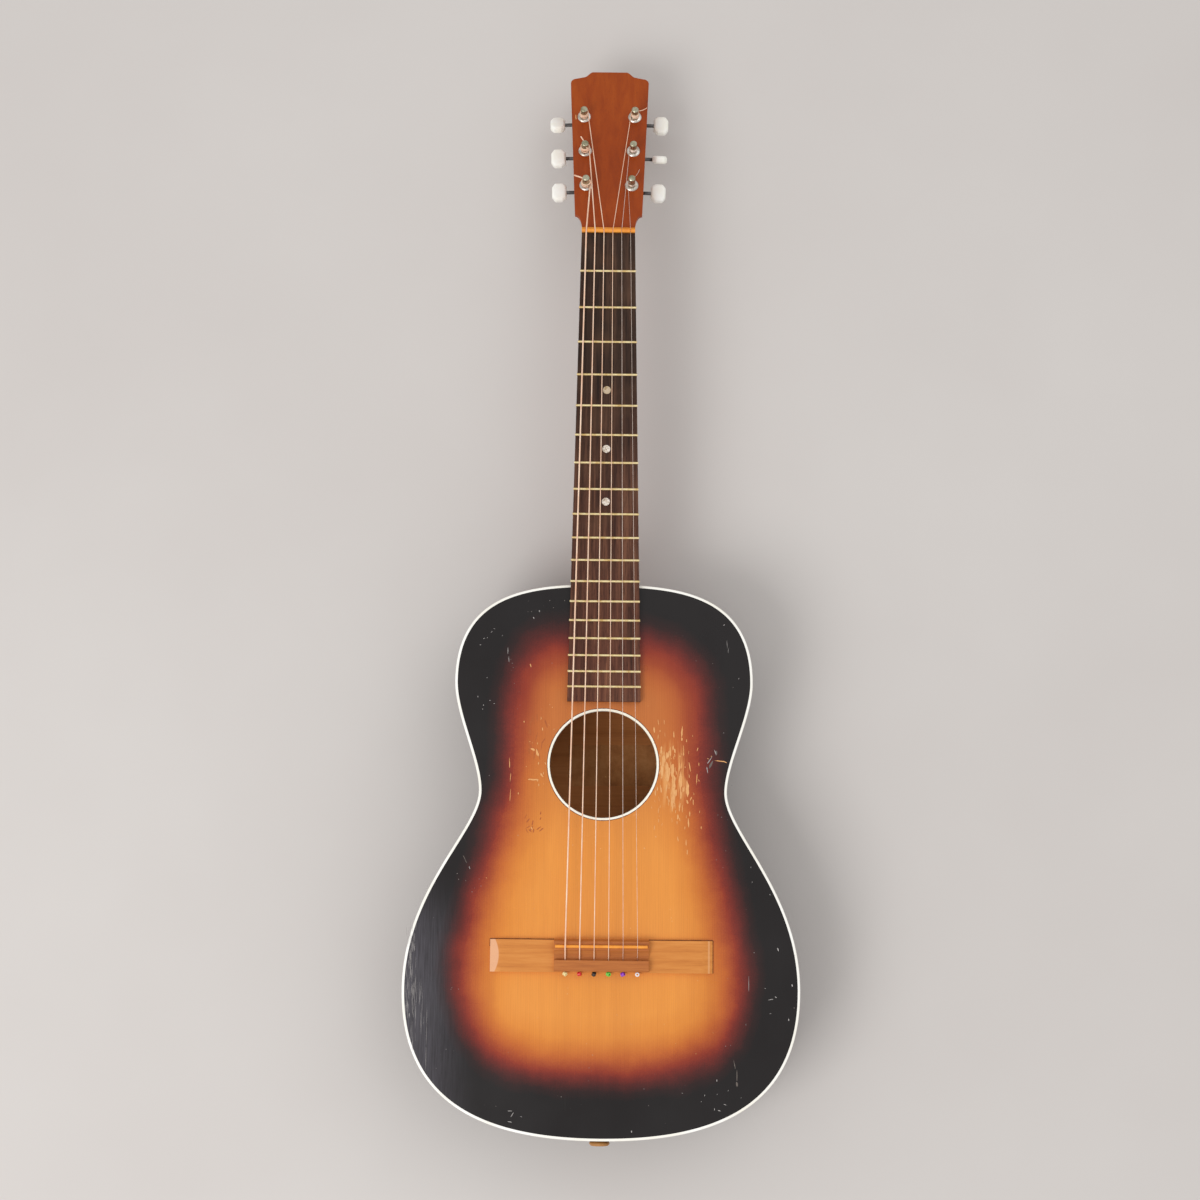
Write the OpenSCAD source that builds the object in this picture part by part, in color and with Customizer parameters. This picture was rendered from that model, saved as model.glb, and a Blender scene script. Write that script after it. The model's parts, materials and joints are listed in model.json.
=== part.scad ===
// Small-bodied six-string guitar with a flat top and an arched back.
// Lengths in millimetres. x = 0 is the centreline with the bass side at -x,
// +y points to the headstock and +z points out of the top.
// z = 0 is the lowest line of the back, and x = y = 0 is the middle of the outside box.
// A distance "down the strings" is measured from the front of the nut towards the tail.

/* [Strings] */
// Open string length, nut to saddle
scale_length = 630; // [590:5:680]
// Distance between strings at the nut
nut_spacing = 7.9; // [7:0.1:8.5]
// Distance between strings at the bridge
bridge_spacing = 12.3; // [10:0.1:13]
// Gap between the first fret's top and the strings at the nut
nut_action = 0.6; // [0.3:0.1:1.2]
// Gap between the plane of the fret tops and the strings at the saddle
saddle_action = 5.2; // [3:0.1:7]

/* [Neck] */
// Width of the neck at the nut
nut_width = 47.7; // [46:0.1:52]
// Width that the fingerboard gains over one scale length
neck_taper = 23.8; // [16:0.2:28]
// Number of frets
fret_count = 18; // [16:1:19]
// Thickness of the fingerboard
fingerboard_thickness = 5.5; // [4:0.5:7]
// Depth of the neck wood behind the nut
neck_depth_nut = 15.5; // [14:0.5:20]
// Depth of the neck wood just before the heel
neck_depth_heel = 18; // [15:0.5:24]
// Length of the nut along the strings
nut_thickness = 5; // [4:0.5:7]

/* [Headstock] */
// Angle by which the headstock leans back
head_angle = 13; // [8:1:16]
// Length of the headstock along its face
head_length = 166.4; // [160:0.2:190]
// Thickness of the headstock
head_thickness = 16; // [14:0.5:19]
// Width across the headstock's foot
head_foot_width = 60.4; // [58:0.5:68]
// Width across the headstock's top corners
head_top_width = 71.8; // [70:0.5:80]

/* [Tuners] */
// Distance between the string posts on one side
post_spacing = 36.2; // [35:0.1:40]
// Middle post's distance from the back of the nut
post_middle = 81.8; // [80:0.2:90]
// Middle post's distance from the centreline
post_offset = 21.9; // [21:0.1:24]
// Angle by which each row of posts spreads
post_splay = 2.05; // [0:0.05:3]
// Number of teeth on a tuner gear
gear_teeth = 14; // [12:1:16]
// Distance between the post's axis and the worm's axis
worm_offset = 7; // [7:0.1:8]

/* [Body] */
// Length of the body
body_length = 474.9; // [430:1:520]
// Depth of the body, top to lowest point of the back
body_depth = 92; // [80:1:115]
// Width of the upper bout
upper_bout = 258; // [230:1:290]
// Width of the waist
waist = 213.4; // [180:1:240]
// Width of the lower bout
lower_bout = 340; // [300:1:390]
// Thickness of the top
top_thickness = 2.8; // [2.4:0.1:3.5]
// Thickness of the back
back_thickness = 2.6; // [2.2:0.1:3.5]
// Thickness of the sides, which is also the binding's width
side_thickness = 2.2; // [1.8:0.1:3]
// Radius of the back's arch across the body
back_radius = 3500; // [2500:100:6000]
// Depth of the binding below the top's face
binding_depth = 6; // [5:0.5:8]
// Soundhole's diameter inside its ring
soundhole_diameter = 92.4; // [80:0.2:102]
// Width of the ring round the soundhole
ring_width = 2.4; // [1.6:0.1:4]
// Diameter of the end pin's head
end_pin_diameter = 17.5; // [14:0.5:20]

/* [Bridge] */
// Width of the bridge across the body
bridge_width = 190; // [160:1:205]
// Length of the bridge along the strings
bridge_length = 27.4; // [26:0.2:32]
// Width of the bridge's raised middle
bridge_block_width = 80.6; // [72:0.2:90]
// Height of the bridge's raised middle
bridge_block_height = 9.3; // [8.6:0.1:10]

/* [Hidden] */

$fn = 48;
BASS = -1;
TREBLE = 1;
cut = 1;                 // how far a cutting solid runs past the surface that it cuts

// colours
black_lacquer = [0.18, 0.15, 0.15];
amber_spruce = [0.90, 0.56, 0.24];
bare_wood = [0.80, 0.65, 0.45];
neck_stain = [0.55, 0.24, 0.11];
rosewood = [0.33, 0.21, 0.19];
cream_plastic = [0.93, 0.92, 0.87];
amber_plastic = [0.98, 0.66, 0.25];
bronze = [0.85, 0.58, 0.38];
steel = [0.72, 0.72, 0.74];
dark_steel = [0.32, 0.32, 0.34];
brass = [0.84, 0.72, 0.45];

// heights
top_z = body_depth;
inside_top_z = top_z - top_thickness;
board_z = top_z + fingerboard_thickness;
fret_radius = 1.1;
fret_z = board_z + fret_radius;
saddle_z = fret_z + saddle_action;

// distances down the strings
function fret_distance(n) = scale_length * (1 - pow(2, -n / 12));
joint_fret = 12;
joint_d = fret_distance(joint_fret) + 2.5;
tail_d = joint_d + body_length;
board_end_d = fret_distance(fret_count + 1) + 0.3;
hole_d = board_end_d + soundhole_diameter / 2 + ring_width + 5.5;
bridge_front_d = scale_length - 5.6;
bridge_rear_d = bridge_front_d + bridge_length;
saddle_d = scale_length - 0.2;
tie_front_d = bridge_rear_d - 10.3;
tie_rear_d = bridge_rear_d - 0.9;
pin_reach = 8.7;         // how far the end pin stands out of the tail

// the nut's place along y centres the outside box on y = 0
nut_y = (tail_d + pin_reach - nut_thickness - head_length * cos(head_angle)) / 2;
function at(d) = nut_y - d;
function board_width(d) = nut_width + neck_taper * d / scale_length;

// body outline: four cubic curves on one side, as [x, distance down the strings]
upper_d = joint_d + 0.179 * body_length;
waist_d = joint_d + 0.38 * body_length;
lower_d = joint_d + 0.734 * body_length;
crown = 0.6;             // how much the heel's seat flattens the outline
body_top_d = joint_d - crown;
upper_x = upper_bout / 2;
waist_x = waist / 2;
lower_x = lower_bout / 2;
shoulder_run = upper_d - body_top_d;
upper_run = waist_d - upper_d;
lower_run = lower_d - waist_d;
tail_run = tail_d - lower_d;
outline_curves = [
    [[0, body_top_d], [0.46 * upper_x, body_top_d],
        [upper_x, upper_d - 0.95 * shoulder_run], [upper_x, upper_d]],
    [[upper_x, upper_d], [upper_x, upper_d + 0.31 * upper_run],
        [waist_x, waist_d - 0.27 * upper_run], [waist_x, waist_d]],
    [[waist_x, waist_d], [waist_x, waist_d + 0.2 * lower_run],
        [lower_x, lower_d - 0.5 * lower_run], [lower_x, lower_d]],
    [[lower_x, lower_d], [lower_x, lower_d + 0.85 * tail_run],
        [0.48 * lower_x, tail_d], [0, tail_d]]
];
curve_steps = 20;

function curve_point(c, t) =
    pow(1 - t, 3) * c[0] + 3 * pow(1 - t, 2) * t * c[1] + 3 * (1 - t) * t * t * c[2] + t * t * t * c[3];
function curve_slope(c, t) =
    pow(1 - t, 2) * (c[1] - c[0]) + 2 * (1 - t) * t * (c[2] - c[1]) + t * t * (c[3] - c[2]);
function outward(v) = [v[1], -v[0]] / norm(v);
function seated(p, inset) = [p[0], max(p[1], joint_d + inset)];
function half_outline(inset) = concat(
    [for (c = outline_curves) for (k = [0 : curve_steps - 1])
        seated(curve_point(c, k / curve_steps) - inset * outward(curve_slope(c, k / curve_steps)), inset)],
    [[0, tail_d - inset]]
);
function treble_points(inset) = [for (p = half_outline(inset)) [p[0], at(p[1])]];
function full_outline(inset) = let (half = treble_points(inset), n = len(half)) concat(
    half, [for (k = [n - 2 : -1 : 1]) [-half[k][0], half[k][1]]]
);

// headstock face, as [x, distance from the back of the nut]
foot_s = 15;
shoulder_s = head_length - 13;
corner_radius = 5;
step_s = head_length - 5.6;
step_out = 0.66 * head_top_width / 2;
step_in = 0.43 * head_top_width / 2;
corner_x = head_top_width / 2 - corner_radius;
corner_s = step_s - 1.6 - corner_radius;
foot_x = head_foot_width / 2;
under_nut = 4;           // how far the headstock runs back under the nut
head_half = concat(
    [[0, -under_nut], [nut_width / 2 - 0.3, -under_nut], [nut_width / 2 - 0.3, 0.2]],
    [for (k = [0 : 6]) let (a = 90 - 15 * k)
        [nut_width / 2 + (foot_x - nut_width / 2) * (1 - sin(a)), 1 + (foot_s - 1) * cos(a)]],
    [for (k = [0 : 6]) let (a = 15 * k)
        [corner_x + corner_radius * cos(a), corner_s + corner_radius * sin(a)]],
    [for (k = [0 : 6]) [step_out + (step_in - step_out) * k / 6, step_s + 5.6 * (1 - cos(30 * k)) / 2]],
    [[0, head_length]]
);
head_outline = concat(
    head_half, [for (k = [len(head_half) - 2 : -1 : 1]) [-head_half[k][0], head_half[k][1]]]
);

// strings, number 1 is the thinnest and lies on the treble side
string_diameters = [0.30, 0.41, 0.61, 0.81, 1.07, 1.35];
function string_radius(n) = string_diameters[n - 1] / 2;
function string_row(n) = 3.5 - n;

// tuners: side, place in the row (0 is nearest the nut), and centre on the headstock's face
post_radius = 3.15;
bearing_gap = 0.05;
plate_thickness = 1.2;
worm_depth = head_thickness + plate_thickness + 6.3;
gear_thickness = 4.6;
shaft_radius = 1.6;
lug_middle = 7;
lug_thickness = 1.8;
first_turn = 2.6;        // underside of the lowest turn of string on a post
string_hole_h = 9.4;
wrap_sweep = 300;        // how far the lowest turn runs round its post
function tuner_side(n) = n > 3 ? BASS : TREBLE;
function tuner_place(n) = n > 3 ? 6 - n : n - 1;
function post_along(n) = (tuner_place(n) - 1) * post_spacing;
function post_face(n) = [
    tuner_side(n) * (post_offset + post_along(n) * sin(post_splay)),
    post_middle + post_along(n) * cos(post_splay)
];
// how each button is turned, and each cut string end: direction on the face and length
button_turn = [0, 123, 0, 22, 0, 0];
end_angle = [52, 40, 12, 200, 108, 155];
end_length = [9, 0.4, 8, 0.4, 6, 8];

// the headstock's face in world coordinates
function on_face(x, s, h) = [
    x,
    nut_y + nut_thickness + s * cos(head_angle) + h * sin(head_angle),
    top_z - s * sin(head_angle) + h * cos(head_angle)
];

// string route: ball end, tie block, saddle, nut, then the tangent point on the post
crest_back = 1.5;        // the nut's crest, measured back from its front
tie_z = top_z + 6.2;
ball_radius = 2;
ball_d = tie_rear_d + ball_radius + 0.05;
joint_swell = 1.06;      // a string's bends are balls, this much thicker than the string
function bend_radius(n) = joint_swell * string_radius(n);
function crest(n) = [string_row(n) * nut_spacing, nut_y + crest_back, fret_z + nut_action + bend_radius(n)];
function saddle_point(n) = [string_row(n) * bridge_spacing, at(saddle_d), saddle_z + bend_radius(n)];
function tie_point(n) = [string_row(n) * bridge_spacing, at(tie_front_d), tie_z];
function ball_point(n) = [string_row(n) * bridge_spacing, at(tie_rear_d) + 0.3, tie_z];
function turn_radius(n) = post_radius + bearing_gap + bend_radius(n);
function turn_height(n) = first_turn + bend_radius(n);
function nut_on_face(n) = [
    crest(n)[0],
    (crest_back - nut_thickness) * cos(head_angle) - (crest(n)[2] - top_z) * sin(head_angle)
];
function string_aim(n) =
    let (reach = post_face(n) - nut_on_face(n))
    atan2(reach[1], reach[0]) + tuner_side(n) * asin(turn_radius(n) / norm(reach));
function wrap_angle(n) = string_aim(n) + tuner_side(n) * 90;
function wrap_point(n) =
    let (touch = post_face(n) + turn_radius(n) * [cos(wrap_angle(n)), sin(wrap_angle(n))])
    on_face(touch[0], touch[1], turn_height(n));

// ---- helpers ----

// round bar between two points
module rod(a, b, r) {
    v = b - a;
    translate(a)
        rotate([0, acos(v[2] / norm(v)), atan2(v[1], v[0])])
            cylinder(r = r, h = norm(v));
}

// square slot that holds a string, open at the top, from just before a to just past b
module string_slot(a, b, half) {
    v = b - a;
    lap = 0.3;
    translate(a)
        rotate([0, acos(v[2] / norm(v)), atan2(v[1], v[0])])
            translate([-4, -half, -lap])
                cube([4 + half, 2 * half, norm(v) + lap]);
}

// everything above a shell of the arched back, drop is the depth below the outer face
arch_steps = 24;
function arch_z(x, drop) = back_radius - sqrt(pow(back_radius - drop, 2) - x * x);
module above_arch(drop) {
    reach = lower_x + 2;
    translate([0, at(joint_d - 10), 0])
        rotate([90, 0, 0])
            linear_extrude(body_length + 20)
                polygon(concat(
                    [for (k = [0 : arch_steps]) let (x = reach * (2 * k / arch_steps - 1)) [x, arch_z(x, drop)]],
                    [[reach, body_depth + 2 * cut], [-reach, body_depth + 2 * cut]]
                ));
}

// slab with the body's outline between two heights
module body_slab(inset, low, high) {
    translate([0, 0, low])
        linear_extrude(high - low)
            polygon(full_outline(inset));
}

// strip that follows the outline
module body_strip(outer, inner, low, high) {
    difference() {
        body_slab(outer, low, high);
        body_slab(inner, low - cut, high + cut);
    }
}

// keeps one side of the centreline
module one_side(side) {
    intersection() {
        children();
        translate([side > 0 ? 0 : -lower_bout, at(tail_d + 50), -cut])
            cube([lower_bout, body_length + 100, body_depth + 2 * cut]);
    }
}

// box across the body between two distances down the strings
module cross_box(width, from_d, to_d, low, high) {
    translate([-width / 2, at(to_d), low])
        cube([width, to_d - from_d, high - low]);
}

module head_frame() {
    translate([0, nut_y + nut_thickness, top_z])
        rotate([-head_angle, 0, 0])
            children();
}

// frame of one row of tuners: y runs along the row, z stands out of the headstock's face
module row_frame(side) {
    head_frame()
        translate([side * post_offset, post_middle, 0])
            rotate([0, 0, -side * post_splay])
                children();
}

module post_frame(n) {
    row_frame(tuner_side(n))
        translate([0, post_along(n), 0])
            children();
}

// frame of one worm: x runs outwards along its axis
module worm_frame(n) {
    post_frame(n)
        translate([0, worm_offset, -worm_depth])
            rotate([0, 0, tuner_side(n) > 0 ? 0 : 180])
                children();
}

// ---- body ----

module top_plate() {
    color(amber_spruce)
        difference() {
            body_slab(side_thickness, inside_top_z, top_z);
            translate([0, at(hole_d), inside_top_z - cut])
                cylinder(d = soundhole_diameter + 2 * ring_width, h = top_thickness + 2 * cut, $fn = 96);
        }
}

module back_plate() {
    color(neck_stain)
        difference() {
            intersection() {
                body_slab(0, 0, body_depth / 4);
                above_arch(0);
            }
            above_arch(back_thickness);
        }
}

module side_plate(side) {
    color(black_lacquer)
        difference() {
            one_side(side)
                intersection() {
                    body_strip(0, side_thickness, 0, top_z - binding_depth);
                    above_arch(back_thickness);
                }
            bolt_hole();
            pin_hole();
        }
}

module binding() {
    color(cream_plastic)
        for (side = [BASS, TREBLE])
            one_side(side)
                body_strip(0, side_thickness, top_z - binding_depth, top_z);
}

module soundhole_ring() {
    color(cream_plastic)
        translate([0, at(hole_d), inside_top_z])
            difference() {
                cylinder(d = soundhole_diameter + 2 * ring_width, h = top_thickness, $fn = 96);
                translate([0, 0, -cut])
                    cylinder(d = soundhole_diameter, h = top_thickness + 2 * cut, $fn = 96);
            }
}

lining_width = 5.5;
lining_depth = 12;
block_width = 62;
neck_block_length = 38;
tail_block_length = 16;
inner_d = joint_d + side_thickness;
inner_tail_d = tail_d - side_thickness;

// room taken by the two end blocks
module block_room() {
    cross_box(block_width, joint_d, inner_d + neck_block_length, -cut, top_z);
    cross_box(block_width, inner_tail_d - tail_block_length, tail_d, -cut, top_z);
}

module linings() {
    inner = side_thickness + lining_width;
    color(bare_wood)
        for (side = [BASS, TREBLE])
            one_side(side) {
                difference() {
                    body_strip(side_thickness, inner, inside_top_z - lining_depth, inside_top_z);
                    block_room();
                }
                difference() {
                    intersection() {
                        body_strip(side_thickness, inner, 0, lining_depth + 6);
                        above_arch(back_thickness);
                    }
                    block_room();
                }
            }
}

// wood inside the rim between two distances, seated on the back and under the top
module end_block(from_d, to_d) {
    intersection() {
        cross_box(block_width, from_d, to_d, 0, inside_top_z);
        body_slab(side_thickness, 0, inside_top_z);
        above_arch(back_thickness);
    }
}

module neck_block() {
    color(bare_wood)
        difference() {
            end_block(joint_d, inner_d + neck_block_length);
            bolt_hole();
        }
}

module tail_block() {
    color(bare_wood)
        difference() {
            end_block(inner_tail_d - tail_block_length, tail_d);
            pin_hole();
        }
}

brace_gap = side_thickness + lining_width + 0.5;
brace_width = 7;
brace_height = 13;
hole_reach = soundhole_diameter / 2 + ring_width;
top_brace_places = [
    hole_d - hole_reach - 8,
    hole_d + hole_reach + 8,
    (hole_d + hole_reach + bridge_front_d) / 2 + 8,
    (bridge_rear_d + tail_d) / 2 - 10
];
back_brace_places = [for (share = [0.2, 0.45, 0.64, 0.83]) joint_d + body_length * share];

// tapered cross bar: foot on z = 0, narrow edge at the far height
module brace_bar(height) {
    rotate([90, 0, 90])
        linear_extrude(lower_bout, center = true)
            polygon([
                [-brace_width / 2, 0], [brace_width / 2, 0],
                [brace_width / 4, height], [-brace_width / 4, height]
            ]);
}

module top_braces() {
    color(bare_wood)
        for (d = top_brace_places)
            intersection() {
                translate([0, at(d), inside_top_z])
                    mirror([0, 0, 1])
                        brace_bar(brace_height);
                body_slab(brace_gap, inside_top_z - brace_height - cut, inside_top_z);
            }
}

module back_braces() {
    color(bare_wood)
        for (d = back_brace_places)
            intersection() {
                translate([0, at(d), back_thickness])
                    brace_bar(brace_height + 2);
                body_slab(brace_gap, 0, brace_height + 8);
                above_arch(back_thickness);
            }
}

bridge_plate_thickness = 2.5;
module bridge_plate() {
    color(bare_wood)
        cross_box(bridge_width - 30, bridge_front_d - 6, bridge_rear_d + 6,
            inside_top_z - bridge_plate_thickness, inside_top_z);
}

pin_z = body_depth / 2;
pin_stem_radius = 4;
module pin_hole() {
    translate([0, at(tail_d) - cut, pin_z])
        rotate([-90, 0, 0])
            cylinder(r = pin_stem_radius, h = tail_block_length + 6);
}

module end_pin() {
    stem = 15;
    head_r = end_pin_diameter / 2;
    color([0.74, 0.55, 0.34])
        translate([0, at(tail_d), pin_z])
            rotate([90, 0, 0])
                rotate_extrude()
                    polygon([
                        [0, -stem], [pin_stem_radius, -stem], [pin_stem_radius, 0],
                        [5.6, 0], [5.0, 2.2], [5.4, 3.6], [head_r - 0.8, 4.6],
                        [head_r, 5.6], [head_r, 7], [head_r - 1.2, 8.2], [3, pin_reach], [0, pin_reach]
                    ]);
}

// ---- neck ----

bolt_z = body_depth * 0.7;
bolt_radius = 3;
bolt_in_heel = 12;
washer_thickness = 1.6;
block_face_d = inner_d + neck_block_length;

module bolt_hole() {
    translate([0, at(block_face_d) - cut, bolt_z])
        rotate([-90, 0, 0])
            cylinder(r = bolt_radius + 0.2, h = neck_block_length + side_thickness + 2 * cut);
}

module neck_bolt() {
    head = 4;
    color(steel)
        translate([0, at(block_face_d) - washer_thickness, bolt_z])
            rotate([-90, 0, 0]) {
                cylinder(r = bolt_radius,
                    h = washer_thickness + neck_block_length + side_thickness + bolt_in_heel);
                translate([0, 0, -head])
                    cylinder(d = 11.5, h = head, $fn = 6);
            }
}

module neck_washer() {
    color(steel)
        translate([0, at(block_face_d) - washer_thickness, bolt_z])
            rotate([-90, 0, 0])
                difference() {
                    cylinder(r = 9, h = washer_thickness);
                    translate([0, 0, -cut])
                        cylinder(r = bolt_radius + 0.2, h = washer_thickness + 2 * cut);
                }
}

// neck section: width and depth at a distance, and how far it has turned into the heel
heel_length = 52;
heel_start_d = joint_d - heel_length;
heel_depth = body_depth - 14;
heel_steps = 9;
shaft_steps = 6;
section_steps = 20;
foot_blend = 30;         // how far the neck's round back runs into the headstock
foot_steps = 3;
neck_stations = concat(
    [for (k = [0 : shaft_steps]) heel_start_d * k / shaft_steps],
    [for (k = [1 : heel_steps]) heel_start_d + heel_length * sin(90 * k / heel_steps)]
);
function heel_share(d) = d <= heel_start_d ? 0 : 1 - cos(90 * pow((d - heel_start_d) / heel_length, 1.9));
function shaft_depth(d) = neck_depth_nut + (neck_depth_heel - neck_depth_nut) * d / heel_start_d;
function neck_depth(d) = shaft_depth(d) + (heel_depth - shaft_depth(d)) * heel_share(d);

// one round-backed section as [x, depth], flat side on top
function section(half, depth, side_power, depth_power) =
    [for (k = [0 : section_steps]) let (a = 180 * k / section_steps) [
        (a < 90 ? 1 : -1) * half * pow(abs(cos(a)), side_power),
        depth * pow(abs(sin(a)), depth_power)
    ]];
function neck_ring(d) =
    let (share = heel_share(d))
    [for (p = section(board_width(d) / 2, neck_depth(d), 0.85 + 0.3 * share, 0.9 - 0.05 * share))
        [p[0], at(d), top_z - p[1]]];
function foot_ring(s) =
    let (
        sink = s > 0 ? 0.5 : 0,
        depth = neck_depth_nut + (head_thickness - 0.4 - neck_depth_nut) * s / foot_blend
    )
    [for (p = section(nut_width / 2 - 0.4 * s / foot_blend, depth - sink, 0.85, 0.9))
        on_face(p[0], s, -sink - p[1])];

module neck_shaft() {
    ring_size = section_steps + 1;
    rings = concat(
        [for (k = [foot_steps : -1 : 0]) foot_ring(foot_blend * k / foot_steps)],
        [for (d = neck_stations) neck_ring(d)]
    );
    last = len(rings) - 1;
    points = [for (ring = rings) each ring];
    polyhedron(points, concat(
        [[for (k = [ring_size - 1 : -1 : 0]) k]],
        [[for (k = [0 : ring_size - 1]) last * ring_size + k]],
        [for (j = [0 : last - 1]) for (k = [0 : ring_size - 1])
            let (
                a = j * ring_size + k,
                b = j * ring_size + (k + 1) % ring_size,
                c = (j + 1) * ring_size + (k + 1) % ring_size,
                e = (j + 1) * ring_size + k
            )
            each [[a, b, e], [b, c, e]]]
    ));
}

// headstock plate: its back is cut away at the foot, and its face stops at the nut's seat
module head_plate() {
    side_view = [
        [-under_nut, 1], [head_length + cut, 1], [head_length + cut, -head_thickness],
        [foot_blend - 2, -head_thickness], [foot_s, -4], [-under_nut, -3]
    ];
    difference() {
        head_frame()
            intersection() {
                translate([0, 0, -head_thickness])
                    linear_extrude(head_thickness)
                        polygon(head_outline);
                rotate([90, 0, 90])
                    linear_extrude(head_top_width + 10, center = true)
                        polygon(side_view);
            }
        cross_box(head_top_width, -nut_thickness - 10, 10, top_z, top_z + 10);
    }
}

bar_width = 6;
bar_depth = 8;
bar_start_d = 8;
bar_end_d = heel_start_d + 20;
sleeve_radius = 4.4;
sleeve_depth = 8;

module neck() {
    color(neck_stain)
        difference() {
            union() {
                neck_shaft();
                head_plate();
            }
            cross_box(bar_width, bar_start_d, bar_end_d, top_z - bar_depth, top_z + cut);
            translate([0, at(joint_d) - cut, bolt_z])
                rotate([-90, 0, 0])
                    cylinder(r = bolt_radius, h = bolt_in_heel + cut);
            for (n = [1 : 6])
                post_frame(n) {
                    translate([0, 0, -head_thickness - cut])
                        cylinder(r = post_radius + 0.3, h = head_thickness + 2 * cut);
                    translate([0, 0, -sleeve_depth])
                        cylinder(r = sleeve_radius, h = sleeve_depth + cut);
                }
            for (side = [BASS, TREBLE])
                row_frame(side)
                    screw_places()
                        cylinder(r = screw_radius, h = screw_length);
        }
}

module neck_bar() {
    color(dark_steel)
        cross_box(bar_width, bar_start_d, bar_end_d, top_z - bar_depth, top_z);
}

dot_radius = 3.5;
dot_depth = 1.5;
dotted_frets = [5, 7, 9];
slot_width = 0.6;
tang_depth = 1.6;

module at_dots() {
    for (n = dotted_frets)
        translate([0, at((fret_distance(n - 1) + fret_distance(n)) / 2), board_z - dot_depth])
            children();
}

module fingerboard() {
    color(rosewood)
        difference() {
            translate([0, 0, top_z])
                linear_extrude(fingerboard_thickness)
                    polygon([
                        [-nut_width / 2, at(0)], [nut_width / 2, at(0)],
                        [board_width(board_end_d) / 2, at(board_end_d)],
                        [-board_width(board_end_d) / 2, at(board_end_d)]
                    ]);
            for (n = [1 : fret_count])
                cross_box(100, fret_distance(n) - slot_width / 2, fret_distance(n) + slot_width / 2,
                    board_z - tang_depth - 0.1, board_z + cut);
            at_dots()
                cylinder(r = dot_radius, h = dot_depth + cut);
        }
}

module position_dots() {
    color(cream_plastic)
        at_dots()
            cylinder(r = dot_radius, h = dot_depth);
}

module frets() {
    tang = slot_width - 0.04;
    color(brass)
        for (n = [1 : fret_count]) {
            d = fret_distance(n);
            width = board_width(d);
            cross_box(width - 0.4, d - tang / 2, d + tang / 2, board_z - tang_depth, board_z + 0.2);
            intersection() {
                translate([0, at(d), board_z])
                    rotate([0, 90, 0])
                        cylinder(r = fret_radius, h = width + 0.8, center = true);
                cross_box(width + 2, d - 2, d + 2, board_z, board_z + 2);
            }
        }
}

module nut() {
    crest_z = fret_z + nut_action;
    color(amber_plastic)
        difference() {
            translate([-nut_width / 2, nut_y, 0])
                rotate([90, 0, 90])
                    linear_extrude(nut_width)
                        polygon([
                            [0, top_z], [0, crest_z + 0.9], [0.6, crest_z + 1.3], [2.4, crest_z + 1.2],
                            [nut_thickness - 0.6, crest_z - 0.8], [nut_thickness, crest_z - 1.6],
                            [nut_thickness, top_z]
                        ]);
            for (n = [1 : 6]) {
                half = bend_radius(n) + 0.03;
                to_saddle = saddle_point(n) - crest(n);
                to_post = wrap_point(n) - crest(n);
                string_slot(crest(n), crest(n) + 8 * to_saddle / norm(to_saddle), half);
                string_slot(crest(n), crest(n) + 8 * to_post / norm(to_post), half);
            }
        }
}

// ---- bridge and strings ----

wing_height = 4;
saddle_slot = 3.4;
saddle_thickness = 2.6;

module bridge() {
    color([0.70, 0.47, 0.27])
        difference() {
            union() {
                translate([0, at(bridge_front_d), top_z])
                    rotate([90, 0, 0])
                        linear_extrude(bridge_length)
                            polygon([
                                [-bridge_width / 2, 0], [bridge_width / 2, 0], [bridge_width / 2, 1.4],
                                [bridge_width / 2 - 4, 2.9], [bridge_width / 2 - 10, wing_height],
                                [-bridge_width / 2 + 10, wing_height], [-bridge_width / 2 + 4, 2.9],
                                [-bridge_width / 2, 1.4]
                            ]);
                translate([-bridge_block_width / 2, at(bridge_front_d), top_z])
                    rotate([90, 0, 90])
                        linear_extrude(bridge_block_width)
                            polygon([
                                [0.9, 0], [0.5, 6.5], [-1.1, bridge_block_height],
                                [-8.6, bridge_block_height], [-9.8, 7.8], [-13.4, 5.6],
                                [-bridge_length + 10.3, 5.2], [-bridge_length + 10.3, bridge_block_height],
                                [-bridge_length + 1.7, bridge_block_height],
                                [-bridge_length + 0.9, bridge_block_height - 0.8],
                                [-bridge_length + 0.9, 1]
                            ]);
            }
            translate([-saddle_width / 2, at(saddle_d) - saddle_thickness / 2,
                top_z + bridge_block_height - saddle_slot])
                cube([saddle_width, saddle_thickness, saddle_slot + cut]);
            for (n = [1 : 6])
                translate([string_row(n) * bridge_spacing, at(tie_rear_d) - cut, tie_z])
                    rotate([-90, 0, 0])
                        cylinder(r = 1.1, h = tie_rear_d - tie_front_d + 2 * cut);
        }
}

saddle_width = bridge_block_width - 1.8;
module saddle() {
    foot_z = top_z + bridge_block_height - saddle_slot;
    round_z = saddle_z - saddle_thickness / 2;
    color(amber_plastic)
        translate([-saddle_width / 2, at(saddle_d) - saddle_thickness / 2, foot_z]) {
            cube([saddle_width, saddle_thickness, round_z - foot_z]);
            translate([0, saddle_thickness / 2, round_z - foot_z])
                rotate([0, 90, 0])
                    cylinder(d = saddle_thickness, h = saddle_width);
        }
}

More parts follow.
